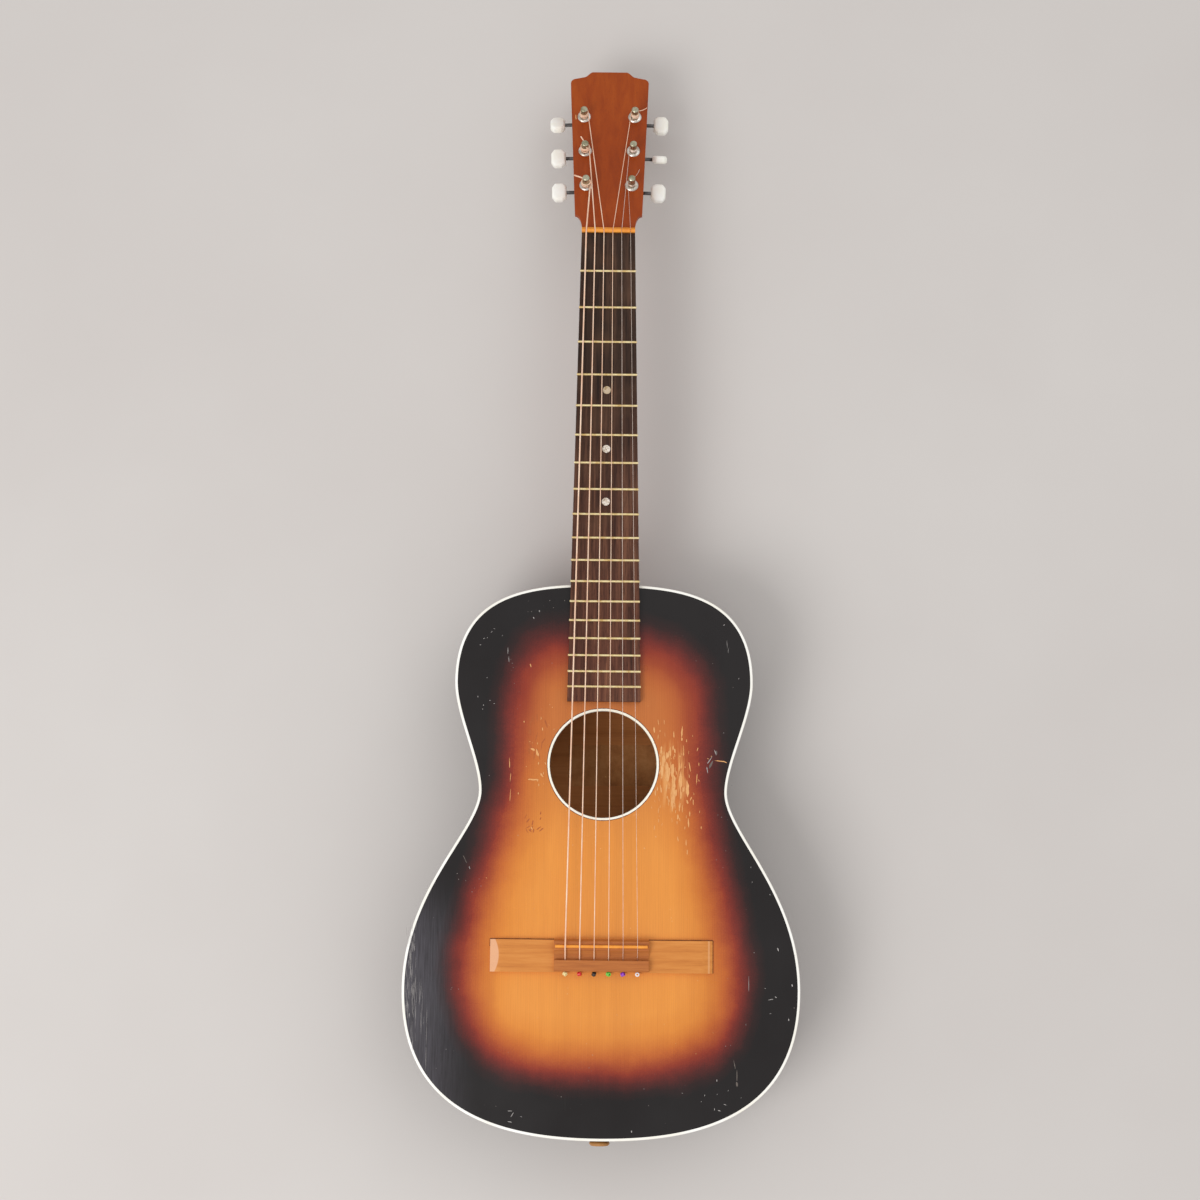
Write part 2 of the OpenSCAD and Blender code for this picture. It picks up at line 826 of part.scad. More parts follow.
// one string: straight runs, a ball at each bend, and its lowest turn round the post
module string_solid(n) {
    r = string_radius(n);
    trim = 0.28 * r;     // straight runs stop inside the balls, clear of each other
    route = [ball_point(n), tie_point(n), saddle_point(n), crest(n), wrap_point(n)];
    for (k = [0 : 3]) {
        run = route[k + 1] - route[k];
        step = trim * run / norm(run);
        rod(route[k] + step, route[k + 1] - step, r);
    }
    for (k = [1 : 4])
        translate(route[k])
            sphere(r = bend_radius(n));
    skip = asin(trim / turn_radius(n));
    start = wrap_angle(n) + tuner_side(n) * (post_splay - skip);
    post_frame(n)
        translate([0, 0, turn_height(n)])
            rotate([0, 0, tuner_side(n) > 0 ? start - wrap_sweep : start])
                rotate_extrude(angle = wrap_sweep)
                    translate([turn_radius(n), 0])
                        circle(r = r);
}

module wound_strings() {
    color(bronze)
        for (n = [3 : 6])
            string_solid(n);
}

module plain_strings() {
    color(steel)
        for (n = [1 : 2])
            string_solid(n);
}

ball_colours = [
    [0.85, 0.85, 0.86], [0.55, 0.22, 0.60], [0.45, 0.70, 0.25],
    [0.10, 0.09, 0.09], [0.80, 0.15, 0.18], [0.86, 0.80, 0.62]
];
// each ball end's bore: tilt away from upright, then turn round the vertical
ball_tilt = [0, 62, 38, 48, 70, 55];
ball_turn = [0, 25, -20, 70, 10, -35];
module ball_ends() {
    for (n = [1 : 6])
        color(ball_colours[n - 1])
            translate([string_row(n) * bridge_spacing, at(ball_d), tie_z])
                rotate([0, ball_tilt[n - 1], ball_turn[n - 1]])
                    rotate_extrude()
                        polygon([
                            [0.8, -1.6], [1.5, -1.6], [ball_radius - 0.1, -1.2], [ball_radius - 0.1, -0.6],
                            [1.5, -0.3], [1.5, 0.3], [ball_radius - 0.1, 0.6], [ball_radius - 0.1, 1.2],
                            [1.5, 1.6], [0.8, 1.6]
                        ]);
}

// ---- tuners ----

screw_radius = 1.1;
screw_length = 9;
plate_width = 17;
plate_end = 12.8;        // from the outer posts' axes to the plate's round end
screw_inset = 3.2;
screw_row = [
    -post_spacing - plate_end + screw_inset, -post_spacing / 2,
    post_spacing / 2, post_spacing + plate_end - screw_inset
];

// screws stand on the back of the headstock, in a row's frame
module screw_places() {
    for (y = screw_row)
        translate([0, y, -head_thickness])
            children();
}

module tuner_plate(side) {
    end_y = post_spacing + plate_end - plate_width / 2;
    lug_height = worm_depth - head_thickness - plate_thickness + 3.4;
    color(steel)
        row_frame(side)
            difference() {
                union() {
                    translate([0, 0, -head_thickness - plate_thickness])
                        linear_extrude(plate_thickness)
                            union() {
                                for (y = [-end_y, end_y])
                                    translate([0, y])
                                        circle(d = plate_width);
                                square([plate_width, 2 * end_y], center = true);
                            }
                    for (place = [-1 : 1])
                        for (x = [-lug_middle, lug_middle])
                            translate([x - lug_thickness / 2, place * post_spacing + worm_offset - 3.2,
                                -head_thickness - plate_thickness - lug_height])
                                cube([lug_thickness, 6.4, lug_height + 0.2]);
                }
                for (place = [-1 : 1]) {
                    translate([0, place * post_spacing, -head_thickness - plate_thickness - cut])
                        cylinder(r = post_radius + 0.15, h = plate_thickness + 2 * cut);
                    translate([0, place * post_spacing + worm_offset, -worm_depth])
                        rotate([0, 90, 0])
                            cylinder(r = shaft_radius + bearing_gap, h = 2 * lug_middle + 6, center = true);
                }
                screw_places()
                    translate([0, 0, -plate_thickness - cut])
                        cylinder(r = screw_radius, h = plate_thickness + 2 * cut);
            }
}

module post_bushings() {
    color(steel)
        for (n = [1 : 6])
            post_frame(n)
                rotate_extrude()
                    polygon([
                        [post_radius + bearing_gap, -sleeve_depth], [sleeve_radius, -sleeve_depth],
                        [sleeve_radius, 0], [6.1, 0], [6.1, 0.5], [5.4, 1.3],
                        [post_radius + bearing_gap, 1.5]
                    ]);
}

module plate_screws() {
    color(steel)
        for (side = [BASS, TREBLE])
            row_frame(side)
                screw_places()
                    rotate_extrude()
                        polygon([
                            [0, -plate_thickness - 1.5], [1.4, -plate_thickness - 1.2],
                            [2.2, -plate_thickness - 0.5], [2.2, -plate_thickness],
                            [screw_radius, -plate_thickness], [screw_radius, screw_length - 2],
                            [0, screw_length]
                        ]);
}

gear_top = -worm_depth + gear_thickness / 2;
gear_bore = 2;
post_height = 13;

module post(n) {
    color(steel)
        post_frame(n)
            difference() {
                rotate_extrude()
                    polygon([
                        [0, gear_top - gear_thickness - 1.2], [2.1, gear_top - gear_thickness - 1.2],
                        [2.7, gear_top - gear_thickness - 0.7], [2.7, gear_top - gear_thickness],
                        [gear_bore, gear_top - gear_thickness], [gear_bore, gear_top],
                        [3.9, gear_top], [3.9, -head_thickness - plate_thickness - 0.15],
                        [post_radius, -head_thickness - plate_thickness - 0.15],
                        [post_radius, post_height - 0.7], [post_radius - 0.7, post_height],
                        [0, post_height]
                    ]);
                translate([0, 0, string_hole_h])
                    rotate([90, 0, end_angle[n - 1] + 90])
                        cylinder(r = 0.85, h = 3 * post_radius, center = true);
            }
}

// spur teeth as straight-sided trapezoids, one tooth points along +y at rest
gear_root = 4.1;
gear_tip = 5.6;
module gear(n) {
    step = 360 / gear_teeth;
    color(brass)
        post_frame(n)
            translate([0, 0, gear_top - gear_thickness])
                linear_extrude(gear_thickness)
                    difference() {
                        polygon([for (k = [0 : gear_teeth - 1]) let (a = 90 + step * k) each [
                            gear_root * [cos(a - 0.3 * step), sin(a - 0.3 * step)],
                            gear_tip * [cos(a - 0.13 * step), sin(a - 0.13 * step)],
                            gear_tip * [cos(a + 0.13 * step), sin(a + 0.13 * step)],
                            gear_root * [cos(a + 0.3 * step), sin(a + 0.3 * step)]
                        ]]);
                        circle(r = gear_bore);
                    }
}

// worm shaft: lug ends, two collars, and a slim core where the thread meets the gear
button_middle = 24.4;
button_length = 13.6;
button_bore_depth = 6;
core_radius = worm_offset - gear_tip - 0.15;
module worm(n) {
    inner_face = lug_middle - lug_thickness / 2 - 0.1;
    outer_end = button_middle - button_length / 2 + button_bore_depth;
    color(dark_steel)
        worm_frame(n)
            rotate([0, 90, 0])
                rotate_extrude()
                    polygon([
                        [0, -lug_middle - 2], [shaft_radius, -lug_middle - 2],
                        [shaft_radius, -inner_face], [2.6, -inner_face], [2.6, -inner_face + 0.8],
                        [core_radius, -inner_face + 0.8], [core_radius, inner_face - 0.8],
                        [2.6, inner_face - 0.8], [2.6, inner_face],
                        [shaft_radius, inner_face], [shaft_radius, outer_end], [0, outer_end]
                    ]);
}

button_width = 18;
button_thickness = 7.2;
module button(n) {
    round_r = 2.6;
    wide = button_width / 2 - round_r;
    thick = button_thickness / 2 - round_r;
    color([0.94, 0.92, 0.86])
        worm_frame(n)
            rotate([button_turn[n - 1], 0, 0])
                difference() {
                    translate([button_middle, 0, 0])
                        hull()
                            for (z = [-thick, thick])
                                for (p = [[-1, -0.75], [-1, 0.75], [-0.5, -1], [-0.5, 1],
                                          [0.6, -1], [0.6, 1], [1, -0.62], [1, 0.62]])
                                    translate([p[0] * (button_length / 2 - round_r), p[1] * wide, z])
                                        sphere(r = round_r, $fn = 20);
                    translate([button_middle - button_length / 2 - cut, 0, 0])
                        rotate([0, 90, 0])
                            cylinder(r = shaft_radius, h = button_bore_depth + cut);
                }
}

// turns of string that ride on the post, and the end that sticks out of its hole
module winding(n) {
    r = string_radius(n);
    start = turn_height(n) + bend_radius(n) + r + 0.15;
    pitch = 1.9 * r;
    turns = min(6, floor((string_hole_h - 1.1 - r - start) / pitch) + 1);
    a = end_angle[n - 1];
    reach = post_radius + end_length[n - 1];
    color(n > 2 ? bronze : steel)
        post_frame(n) {
            rotate_extrude() {
                for (k = [0 : turns - 1])
                    translate([post_radius + r, start + k * pitch])
                        circle(r = r, $fn = 24);
                translate([post_radius, start])
                    square([r, (turns - 1) * pitch]);
            }
            translate([0, 0, string_hole_h])
                rotate([0, 90, a])
                    translate([0, 0, -post_radius])
                        cylinder(r = r, h = reach + post_radius);
        }
}

top_plate();
back_plate();
side_plate(BASS);  // side_bass
side_plate(TREBLE);  // side_treble
binding();
soundhole_ring();
linings();
neck_block();
tail_block();
top_braces();
bridge_plate();
back_braces();
neck();
neck_bar();
neck_bolt();
neck_washer();
fingerboard();
frets();
position_dots();
nut();
bridge();
saddle();
end_pin();
wound_strings();
plain_strings();
ball_ends();
tuner_plate(BASS);  // tuner_plate_bass
tuner_plate(TREBLE);  // tuner_plate_treble
post_bushings();
plate_screws();
post(1);  // post_1
post(2);  // post_2
post(3);  // post_3
post(4);  // post_4
post(5);  // post_5
post(6);  // post_6
gear(1);  // gear_1
gear(2);  // gear_2
gear(3);  // gear_3
gear(4);  // gear_4
gear(5);  // gear_5
gear(6);  // gear_6
worm(1);  // worm_1
worm(2);  // worm_2
worm(3);  // worm_3
worm(4);  // worm_4
worm(5);  // worm_5
worm(6);  // worm_6
button(1);  // button_1
button(2);  // button_2
button(3);  // button_3
button(4);  // button_4
button(5);  // button_5
button(6);  // button_6
winding(1);  // winding_1
winding(2);  // winding_2
winding(3);  // winding_3
winding(4);  // winding_4
winding(5);  // winding_5
winding(6);  // winding_6
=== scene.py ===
"""A small worn acoustic guitar with a sunburst top, lying on its back on a pale floor."""
import json
import math
import random

import bmesh
import bpy
import numpy as np
from mathutils import Matrix, Vector

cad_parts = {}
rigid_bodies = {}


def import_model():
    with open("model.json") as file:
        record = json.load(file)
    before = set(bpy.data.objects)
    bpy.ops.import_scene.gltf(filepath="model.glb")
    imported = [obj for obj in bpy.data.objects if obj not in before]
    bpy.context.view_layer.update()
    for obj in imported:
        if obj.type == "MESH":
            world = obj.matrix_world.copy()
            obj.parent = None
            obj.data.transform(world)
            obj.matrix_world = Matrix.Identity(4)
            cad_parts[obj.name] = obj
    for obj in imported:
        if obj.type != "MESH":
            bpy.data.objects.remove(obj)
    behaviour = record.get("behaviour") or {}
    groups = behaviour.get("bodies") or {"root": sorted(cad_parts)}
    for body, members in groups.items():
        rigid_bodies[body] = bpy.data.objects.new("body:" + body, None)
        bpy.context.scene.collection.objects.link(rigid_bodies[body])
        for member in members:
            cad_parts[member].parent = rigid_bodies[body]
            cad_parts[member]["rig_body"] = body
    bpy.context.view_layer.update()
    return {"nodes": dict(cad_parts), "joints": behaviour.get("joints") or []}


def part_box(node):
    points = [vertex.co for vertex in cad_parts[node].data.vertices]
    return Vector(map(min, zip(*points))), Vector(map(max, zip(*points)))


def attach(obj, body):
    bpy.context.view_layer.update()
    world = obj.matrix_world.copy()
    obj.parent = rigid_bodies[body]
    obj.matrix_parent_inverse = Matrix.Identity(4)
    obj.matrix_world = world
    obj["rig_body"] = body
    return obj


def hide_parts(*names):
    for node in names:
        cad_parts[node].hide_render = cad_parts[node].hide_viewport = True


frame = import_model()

NODES = frame["nodes"]
MM = 0.001
BODY = "guitar"
random.seed(7)


# ---- sizes, in millimetres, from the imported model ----

def low(node):
    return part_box(node)[0] / MM


def high(node):
    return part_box(node)[1] / MM


TOP_Z = high("top_plate").z
INSIDE_Z = low("top_plate").z
NUT_Y = low("nut").y
NUT_REAR = high("nut").y
JOINT_D = NUT_Y - high("binding").y
TAIL_D = NUT_Y - low("binding").y
BODY_LENGTH = TAIL_D - JOINT_D
LOWER_X = high("binding").x
UPPER_SHARE = 0.7615
WAIST_SHARE = 0.6299
UPPER_X = UPPER_SHARE * LOWER_X
WAIST_X = WAIST_SHARE * LOWER_X
BINDING_Z = low("binding").z
BINDING_WIDTH = high("binding").x - high("top_plate").x
RING_RADIUS = high("soundhole_ring").x
HOLE_Y = (high("soundhole_ring").y + low("soundhole_ring").y) / 2
RING_WIDTH = 2.4
HOLE_RADIUS = RING_RADIUS - RING_WIDTH
BACK_THICKNESS = low("tail_block").z
BACK_RADIUS = 3500
SIDE_THICKNESS = 2.2


def at(d):
    """The y of a place d down the strings from the nut."""
    return NUT_Y - d


# ---- node materials ----

LOOKS = {}


def srgb(r, g, b):
    """A colour of three 0-255 values as linear RGBA."""
    def linear(v):
        v /= 255
        return v / 12.92 if v <= 0.04045 else ((v + 0.055) / 1.055) ** 2.4
    return (linear(r), linear(g), linear(b), 1)


class Shade:
    """One node material around a Principled shader, patterned in object coordinates.

    Each method adds a node and gives its output, ready to go into the next one.
    """

    def __init__(self, name, metallic=0.0, coat=0.0, coat_roughness=0.1, gloss=0.3):
        self.name = name
        self.material = bpy.data.materials.new(name)
        self.material.use_nodes = True
        self.tree = self.material.node_tree
        self.shader = self.tree.nodes["Principled BSDF"]
        self.shader.inputs["Metallic"].default_value = metallic
        self.shader.inputs["Coat Weight"].default_value = coat
        self.shader.inputs["Coat Roughness"].default_value = coat_roughness
        self.shader.inputs["Specular IOR Level"].default_value = 0.5 if metallic else gloss
        self.place = self.node("TexCoord").outputs["Object"]

    def put(self, socket, value):
        """Links another node's output to a socket, or sets a number, a vector or a 0-255 colour on it."""
        if isinstance(value, bpy.types.NodeSocket):
            self.tree.links.new(value, socket)
        else:
            socket.default_value = srgb(*value) if socket.type == "RGBA" else value

    def node(self, kind, **values):
        node = self.tree.nodes.new("ShaderNode" + kind)
        for name, value in values.items():
            self.put(node.inputs[name], value)
        return node

    def mapped(self, scale, turn=(0, 0, 0)):
        return self.node("Mapping", Scale=scale, Rotation=turn, Vector=self.place).outputs["Vector"]

    def noise(self, scale, detail=3, roughness=0.5, distortion=0.0, vector=None):
        return self.node("TexNoise", Scale=scale, Detail=detail, Roughness=roughness, Distortion=distortion,
                         Vector=vector or self.place).outputs["Fac"]

    def cells(self, scale):
        return self.node("TexVoronoi", Scale=scale, Vector=self.place).outputs["Distance"]

    def lines(self, scale, direction, distortion, detail, vector=None):
        node = self.node("TexWave", Scale=scale, Distortion=distortion, Detail=detail,
                         Vector=vector or self.place)
        node.bands_direction = direction
        return node.outputs["Fac"]

    def math(self, operation, a, b):
        node = self.node("Math")
        node.operation = operation
        self.put(node.inputs[0], a)
        self.put(node.inputs[1], b)
        return node.outputs[0]

    def plus(self, a, b):
        return self.math("ADD", a, b)

    def minus(self, a, b):
        return self.math("SUBTRACT", a, b)

    def times(self, a, b):
        return self.math("MULTIPLY", a, b)

    def span(self, value, a, b, c=0.0, d=1.0, smooth=False):
        """value from a..b carried to c..d, and held there."""
        node = self.node("MapRange", Value=value)
        node.interpolation_type = "SMOOTHSTEP" if smooth else "LINEAR"
        for socket, number in zip(node.inputs[1:5], (a, b, c, d)):
            socket.default_value = number
        return node.outputs["Result"]

    def ramp(self, value, stops):
        """value as a colour, by stops of (value, 0-255 colour)."""
        node = self.node("ValToRGB", Fac=value)
        points = node.color_ramp.elements
        while len(points) < len(stops):
            points.new(0.5)
        for point, (where, colour) in zip(points, stops):
            point.position = where
            point.color = srgb(*colour)
        return node.outputs["Color"]

    def mix(self, share, a, b, blend="MIX"):
        node = self.node("Mix")
        node.data_type = "RGBA"
        node.blend_type = blend
        for socket, value in zip((node.inputs[0], node.inputs[6], node.inputs[7]), (share, a, b)):
            self.put(socket, value)
        return node.outputs[2]

    def attribute(self, name):
        node = self.node("Attribute")
        node.attribute_name = name
        return node.outputs["Fac"]

    def axis(self, letter):
        return self.node("SeparateXYZ", Vector=self.place).outputs["XYZ".index(letter)]

    def bump(self, height, distance, strength):
        return self.node("Bump", Strength=strength, Distance=distance, Height=height).outputs["Normal"]

    def done(self, colour, roughness, normal=None):
        """Plugs the patterns into the shader and keeps the material under its name."""
        self.put(self.shader.inputs["Base Color"], colour)
        self.put(self.shader.inputs["Roughness"], roughness)
        if normal is not None:
            self.put(self.shader.inputs["Normal"], normal)
        LOOKS[self.name] = self.material


def wood(name, dark, mid, light, squeeze, grain=700, roughness=0.5):
    """Wood with streaks and pores drawn out along the squeezed axis, and a slow change of tone."""
    shade = Shade(name, coat_roughness=0.2)
    long_way = shade.mapped(squeeze)
    streaks = shade.noise(100, 5, 0.6, 0.4, long_way)
    fine = shade.noise(grain, 4, 0.7, 0.2, long_way)
    slow = shade.noise(9, 2)
    tone = shade.plus(shade.times(streaks, 0.6), shade.times(fine, 0.4))
    tone = shade.span(tone, 0.25, 0.75)
    colour = shade.ramp(tone, [(0.0, dark), (0.5, mid), (1.0, light)])
    colour = shade.mix(shade.span(slow, 0.3, 0.7, 0.0, 0.35), colour, dark)
    rough = shade.span(fine, 0.35, 0.65, roughness - 0.1, roughness + 0.12)
    shade.done(colour, rough, shade.bump(fine, 0.00012, 0.6))


def metal(name, base, tarnish, roughness):
    """Plated metal with dull patches, fine scratches and tarnish in spots."""
    shade = Shade(name, metallic=1.0)
    patches = shade.noise(180, 4, 0.6)
    pits = shade.cells(1040)
    hair = shade.noise(1500, 3, 0.7, 0.0, shade.mapped((1, 0.08, 1), (0.3, 0.2, 0.5)))
    share = shade.span(patches, 0.42, 0.68)
    colour = shade.mix(share, base, tarnish)
    colour = shade.mix(shade.span(pits, 0.12, 0.2, 0.7, 0.0), colour, tarnish)
    rough = shade.plus(shade.span(patches, 0.35, 0.7, roughness - 0.08, roughness + 0.2),
                       shade.span(hair, 0.3, 0.7, -0.05, 0.08))
    shade.done(colour, rough, shade.bump(hair, 0.00003, 0.5))


def plastic(name, base, aged, dirt):
    """Moulded plastic with yellowed patches, dirt specks and handling scratches."""
    shade = Shade(name, coat=0.2, coat_roughness=0.15)
    patches = shade.noise(90, 3, 0.55)
    specks = shade.cells(1260)
    hair = shade.noise(1300, 3, 0.7, 0.0, shade.mapped((0.1, 1, 1), (0.4, 0.1, 0.7)))
    colour = shade.mix(shade.span(patches, 0.35, 0.7), base, aged)
    colour = shade.mix(shade.span(specks, 0.05, 0.16, 0.6, 0.0), colour, dirt)
    rough = shade.span(hair, 0.3, 0.7, 0.29, 0.47)
    shade.done(colour, rough, shade.bump(hair, 0.00004, 0.4))


def lacquer_top():
    """The sunburst: black rim, red band and amber middle over spruce, under worn lacquer."""
    shade = Shade("sunburst", coat=0.12, coat_roughness=0.18)
    blotch = shade.noise(28, 3, 0.55)
    spray = shade.noise(900, 2, 0.6)
    depth = shade.plus(shade.attribute("burst"), shade.span(blotch, 0.2, 0.8, -4, 4))
    depth = shade.plus(depth, shade.span(spray, 0.25, 0.75, -1.6, 1.6))
    # above the soundhole the amber comes in more slowly
    slower = shade.span(shade.axis("Y"), at(500) * MM, at(420) * MM, 1.0, 0.55, smooth=True)
    depth = shade.math("MINIMUM", depth, shade.times(depth, slower))
    near, far = -30, 50
    stops = [
        (-24, (24, 19, 19)), (-17, (44, 22, 21)), (-10, (84, 30, 26)),
        (-4, (120, 40, 30)), (1, (148, 54, 32)), (7, (174, 80, 38)),
        (13, (196, 102, 42)), (20, (212, 122, 48)), (30, (228, 142, 57)),
        (46, (236, 153, 66)),
    ]
    share = shade.span(depth, near, far)
    colour = shade.ramp(share, [((d - near) / (far - near), c) for d, c in stops])
    # the upper half is browner than the lower bout
    height = shade.span(shade.axis("Y"), at(560) * MM, at(440) * MM, smooth=True)
    light_zone = shade.span(shade.attribute("burst"), 8, 30)
    brown = shade.times(shade.times(height, light_zone), 0.9)
    colour = shade.mix(brown, colour, (198, 114, 54))
    # spruce year lines and silk
    years = shade.lines(190, "X", 9.0, 3, shade.mapped((1, 0.012, 1)))
    silk = shade.noise(900, 4, 0.7, 0.0, shade.mapped((1, 0.04, 1)))
    wide = shade.noise(60, 3, 0.6, 0.0, shade.mapped((1, 0.02, 1)))
    grain = shade.plus(shade.times(years, 0.12), shade.times(silk, 0.4))
    grain = shade.plus(grain, shade.times(wide, 0.55))
    colour = shade.mix(shade.span(grain, 0.35, 0.75, 0.0, 0.22), colour, (150, 76, 34), "MULTIPLY")
    # fine pale scratches and pin-head chips through the lacquer
    hair_a = shade.noise(420, 2, 0.5, 0.6, shade.mapped((1, 0.02, 1), (0, 0, 0.12)))
    hair_b = shade.noise(300, 2, 0.5, 0.8, shade.mapped((1, 0.03, 1), (0, 0, -0.9)))
    where = shade.span(shade.noise(16, 2), 0.5, 0.72)
    scratch = shade.math("MAXIMUM", shade.span(hair_a, 0.74, 0.8), shade.span(hair_b, 0.78, 0.84))
    scratch = shade.times(scratch, where)
    dots = shade.span(shade.cells(260), 0.06, 0.1, 1.0, 0.0)
    dots = shade.times(dots, shade.span(shade.noise(33, 2), 0.6, 0.66))
    pale = shade.mix(light_zone, (150, 140, 134), (240, 190, 130))
    worn = shade.math("MAXIMUM", shade.times(scratch, 0.55), dots)
    colour = shade.mix(worn, colour, pale)
    # lacquer worn thin beside the soundhole, in streaks along the grain
    across = shade.math("DIVIDE", shade.minus(shade.axis("X"), 60 * MM), 15 * MM)
    along = shade.math("DIVIDE", shade.minus(shade.axis("Y"), at(484) * MM), 32 * MM)
    reach = shade.plus(shade.times(across, across), shade.times(along, along))
    streaks = shade.noise(210, 3, 0.6, 0.3, shade.mapped((1, 0.14, 1)))
    thin = shade.times(shade.span(reach, 1.1, 0.2), shade.span(streaks, 0.46, 0.58))
    colour = shade.mix(shade.times(thin, 0.7), colour, (232, 168, 100))
    # painted reflection: the black at the bass edge of the lower bout is lightened to a bluish grey haze,
    # standing in for the lamp's sheen
    painted_sheen = shade.span(shade.axis("X"), -100 * MM, -168 * MM, smooth=True)
    painted_sheen = shade.times(painted_sheen, shade.span(shade.axis("Y"), at(560) * MM, at(640) * MM, smooth=True))
    painted_sheen = shade.times(painted_sheen, shade.span(silk, 0.3, 0.7, 0.35, 1.0))
    painted_sheen = shade.times(painted_sheen, shade.span(shade.attribute("burst"), -6, -22))
    colour = shade.mix(shade.times(painted_sheen, 0.6), colour, (108, 104, 112))
    dull = shade.noise(12, 3, 0.6)
    rough = shade.plus(shade.span(dull, 0.3, 0.7, 0.2, 0.42), shade.times(worn, 0.35))
    relief = shade.minus(shade.times(silk, 0.3), worn)
    shade.done(colour, rough, shade.bump(relief, 0.00008, 0.5))


def bare_chip():
    """Raw wood where the lacquer has flaked off, greyed and dirty at places."""
    shade = Shade("bare_chip")
    fibres = shade.noise(1600, 3, 0.7, 0.0, shade.mapped((1, 0.06, 1)))
    dirt = shade.noise(150, 3)
    colour = shade.mix(shade.span(fibres, 0.3, 0.7), (238, 184, 124), (220, 154, 92))
    colour = shade.mix(shade.span(dirt, 0.5, 0.75, 0.0, 0.4), colour, (206, 134, 78))
    shade.done(colour, shade.span(fibres, 0.3, 0.7, 0.6, 0.85), shade.bump(fibres, 0.0001, 0.8))


def flat_mark(name, light, dark, pattern, rough, relief, turn=None):
    """A rubbed, scratched or soiled mark, whose colour, roughness and relief come from one noise.

    pattern is the noise's scale, detail and roughness, rough the surface's least and most roughness,
    relief the bump's depth and strength, and turn the lie of a pattern that is drawn out along Y.
    """
    shade = Shade(name)
    where = shade.mapped((1, 0.1, 1), turn) if turn else shade.place
    blot = shade.noise(*pattern, 0.0, where)
    colour = shade.mix(shade.span(blot, 0.3, 0.7), light, dark)
    shade.done(colour, shade.span(blot, 0.3, 0.7, *rough), shade.bump(blot, *relief))


def stained_body():
    """Near-black stain over plain wood for the sides and back, worn brown on high spots."""
    shade = Shade("body_stain", coat=0.2, coat_roughness=0.2)
    long_way = shade.mapped((1, 0.05, 1))
    figure = shade.noise(120, 5, 0.65, 0.6, long_way)
    fine = shade.noise(900, 3, 0.7, 0.0, long_way)
    slow = shade.noise(7, 3, 0.5)
    hair = shade.noise(380, 2, 0.5, 0.5, shade.mapped((0.03, 1, 0.4), (0, 0, 0.5)))
    tone = shade.plus(shade.times(figure, 0.55), shade.times(slow, 0.5))
    colour = shade.ramp(tone, [(0.3, (26, 20, 18)), (0.55, (46, 28, 22)), (0.78, (82, 44, 28))])
    scratch = shade.times(shade.span(hair, 0.72, 0.8), shade.span(shade.noise(20, 2), 0.5, 0.65))
    colour = shade.mix(shade.times(scratch, 0.6), colour, (150, 112, 84))
    rough = shade.plus(shade.span(slow, 0.3, 0.7, 0.25, 0.45), shade.times(scratch, 0.3))
    relief = shade.minus(shade.times(fine, 0.4), scratch)
    shade.done(colour, rough, shade.bump(relief, 0.00007, 0.5))


def neck_finish():
    """Red-brown stain on the neck and headstock, rubbed pale in places, with edge chips."""
    shade = Shade("neck_stain", coat=0.04, coat_roughness=0.2, gloss=0.2)
    long_way = shade.mapped((1, 0.05, 1))
    figure = shade.noise(150, 5, 0.6, 0.5, long_way)
    pores = shade.noise(1400, 3, 0.75, 0.0, shade.mapped((1, 0.07, 1)))
    slow = shade.noise(14, 3)
    tone = shade.plus(shade.times(figure, 0.5), shade.times(slow, 0.5))
    colour = shade.ramp(tone, [(0.32, (138, 54, 12)), (0.5, (154, 64, 14)), (0.68, (168, 76, 18))])
    colour = shade.mix(shade.span(pores, 0.56, 0.7, 0.0, 0.3), colour, (96, 38, 18))
    worn = shade.times(shade.span(shade.cells(190), 0.05, 0.09, 1.0, 0.0),
                      shade.span(shade.noise(40, 2), 0.6, 0.66))
    colour = shade.mix(worn, colour, (206, 150, 96))
    rough = shade.plus(shade.span(slow, 0.3, 0.7, 0.26, 0.46), shade.times(worn, 0.3))
    shade.done(colour, rough, shade.bump(pores, 0.00006, 0.5))


def rosewood():
    """Dry dark fingerboard wood with long pores and finger wear."""
    shade = Shade("rosewood", gloss=0.16)
    long_way = shade.mapped((1, 0.035, 1))
    figure = shade.noise(260, 5, 0.7, 0.3, long_way)
    pores = shade.noise(1500, 3, 0.8, 0.0, shade.mapped((1, 0.05, 1)))
    slow = shade.noise(30, 3)
    near_hole = shade.span(shade.axis("Y"), at(120) * MM, at(400) * MM)
    upper = shade.ramp(figure, [(0.3, (36, 24, 18)), (0.52, (60, 42, 32)), (0.72, (88, 62, 48))])
    lower = shade.ramp(figure, [(0.3, (60, 34, 26)), (0.52, (100, 60, 46)), (0.72, (138, 90, 66))])
    colour = shade.mix(near_hole, upper, lower)
    colour = shade.mix(shade.span(pores, 0.56, 0.66, 0.0, 0.75), colour, (30, 18, 16))
    colour = shade.mix(shade.span(slow, 0.5, 0.75, 0.0, 0.25), colour, (120, 88, 66))
    rough = shade.span(slow, 0.3, 0.7, 0.42, 0.62)
    relief = shade.times(shade.span(pores, 0.5, 0.66), -1.0)
    shade.done(colour, rough, shade.bump(relief, 0.00015, 0.6))


def wound_metal(name, base, tarnish, period):
    """Wrapped string wire: a fine ridge every period millimetres round the string, and tarnish."""
    shade = Shade(name, metallic=0.25, gloss=0.6)
    waves_per_scale = 0.314
    ridges = shade.lines(waves_per_scale / (period * MM), "Y", 0.0, 0)
    patches = shade.noise(60, 3, 0.6)
    colour = shade.mix(shade.span(patches, 0.35, 0.7), base, tarnish)
    colour = shade.mix(shade.span(ridges, 0.0, 0.4, 0.4, 0.0), colour, tarnish)
    rough = shade.span(patches, 0.3, 0.7, 0.28, 0.5)
    shade.done(colour, rough, shade.bump(ridges, 0.00008, 0.6))


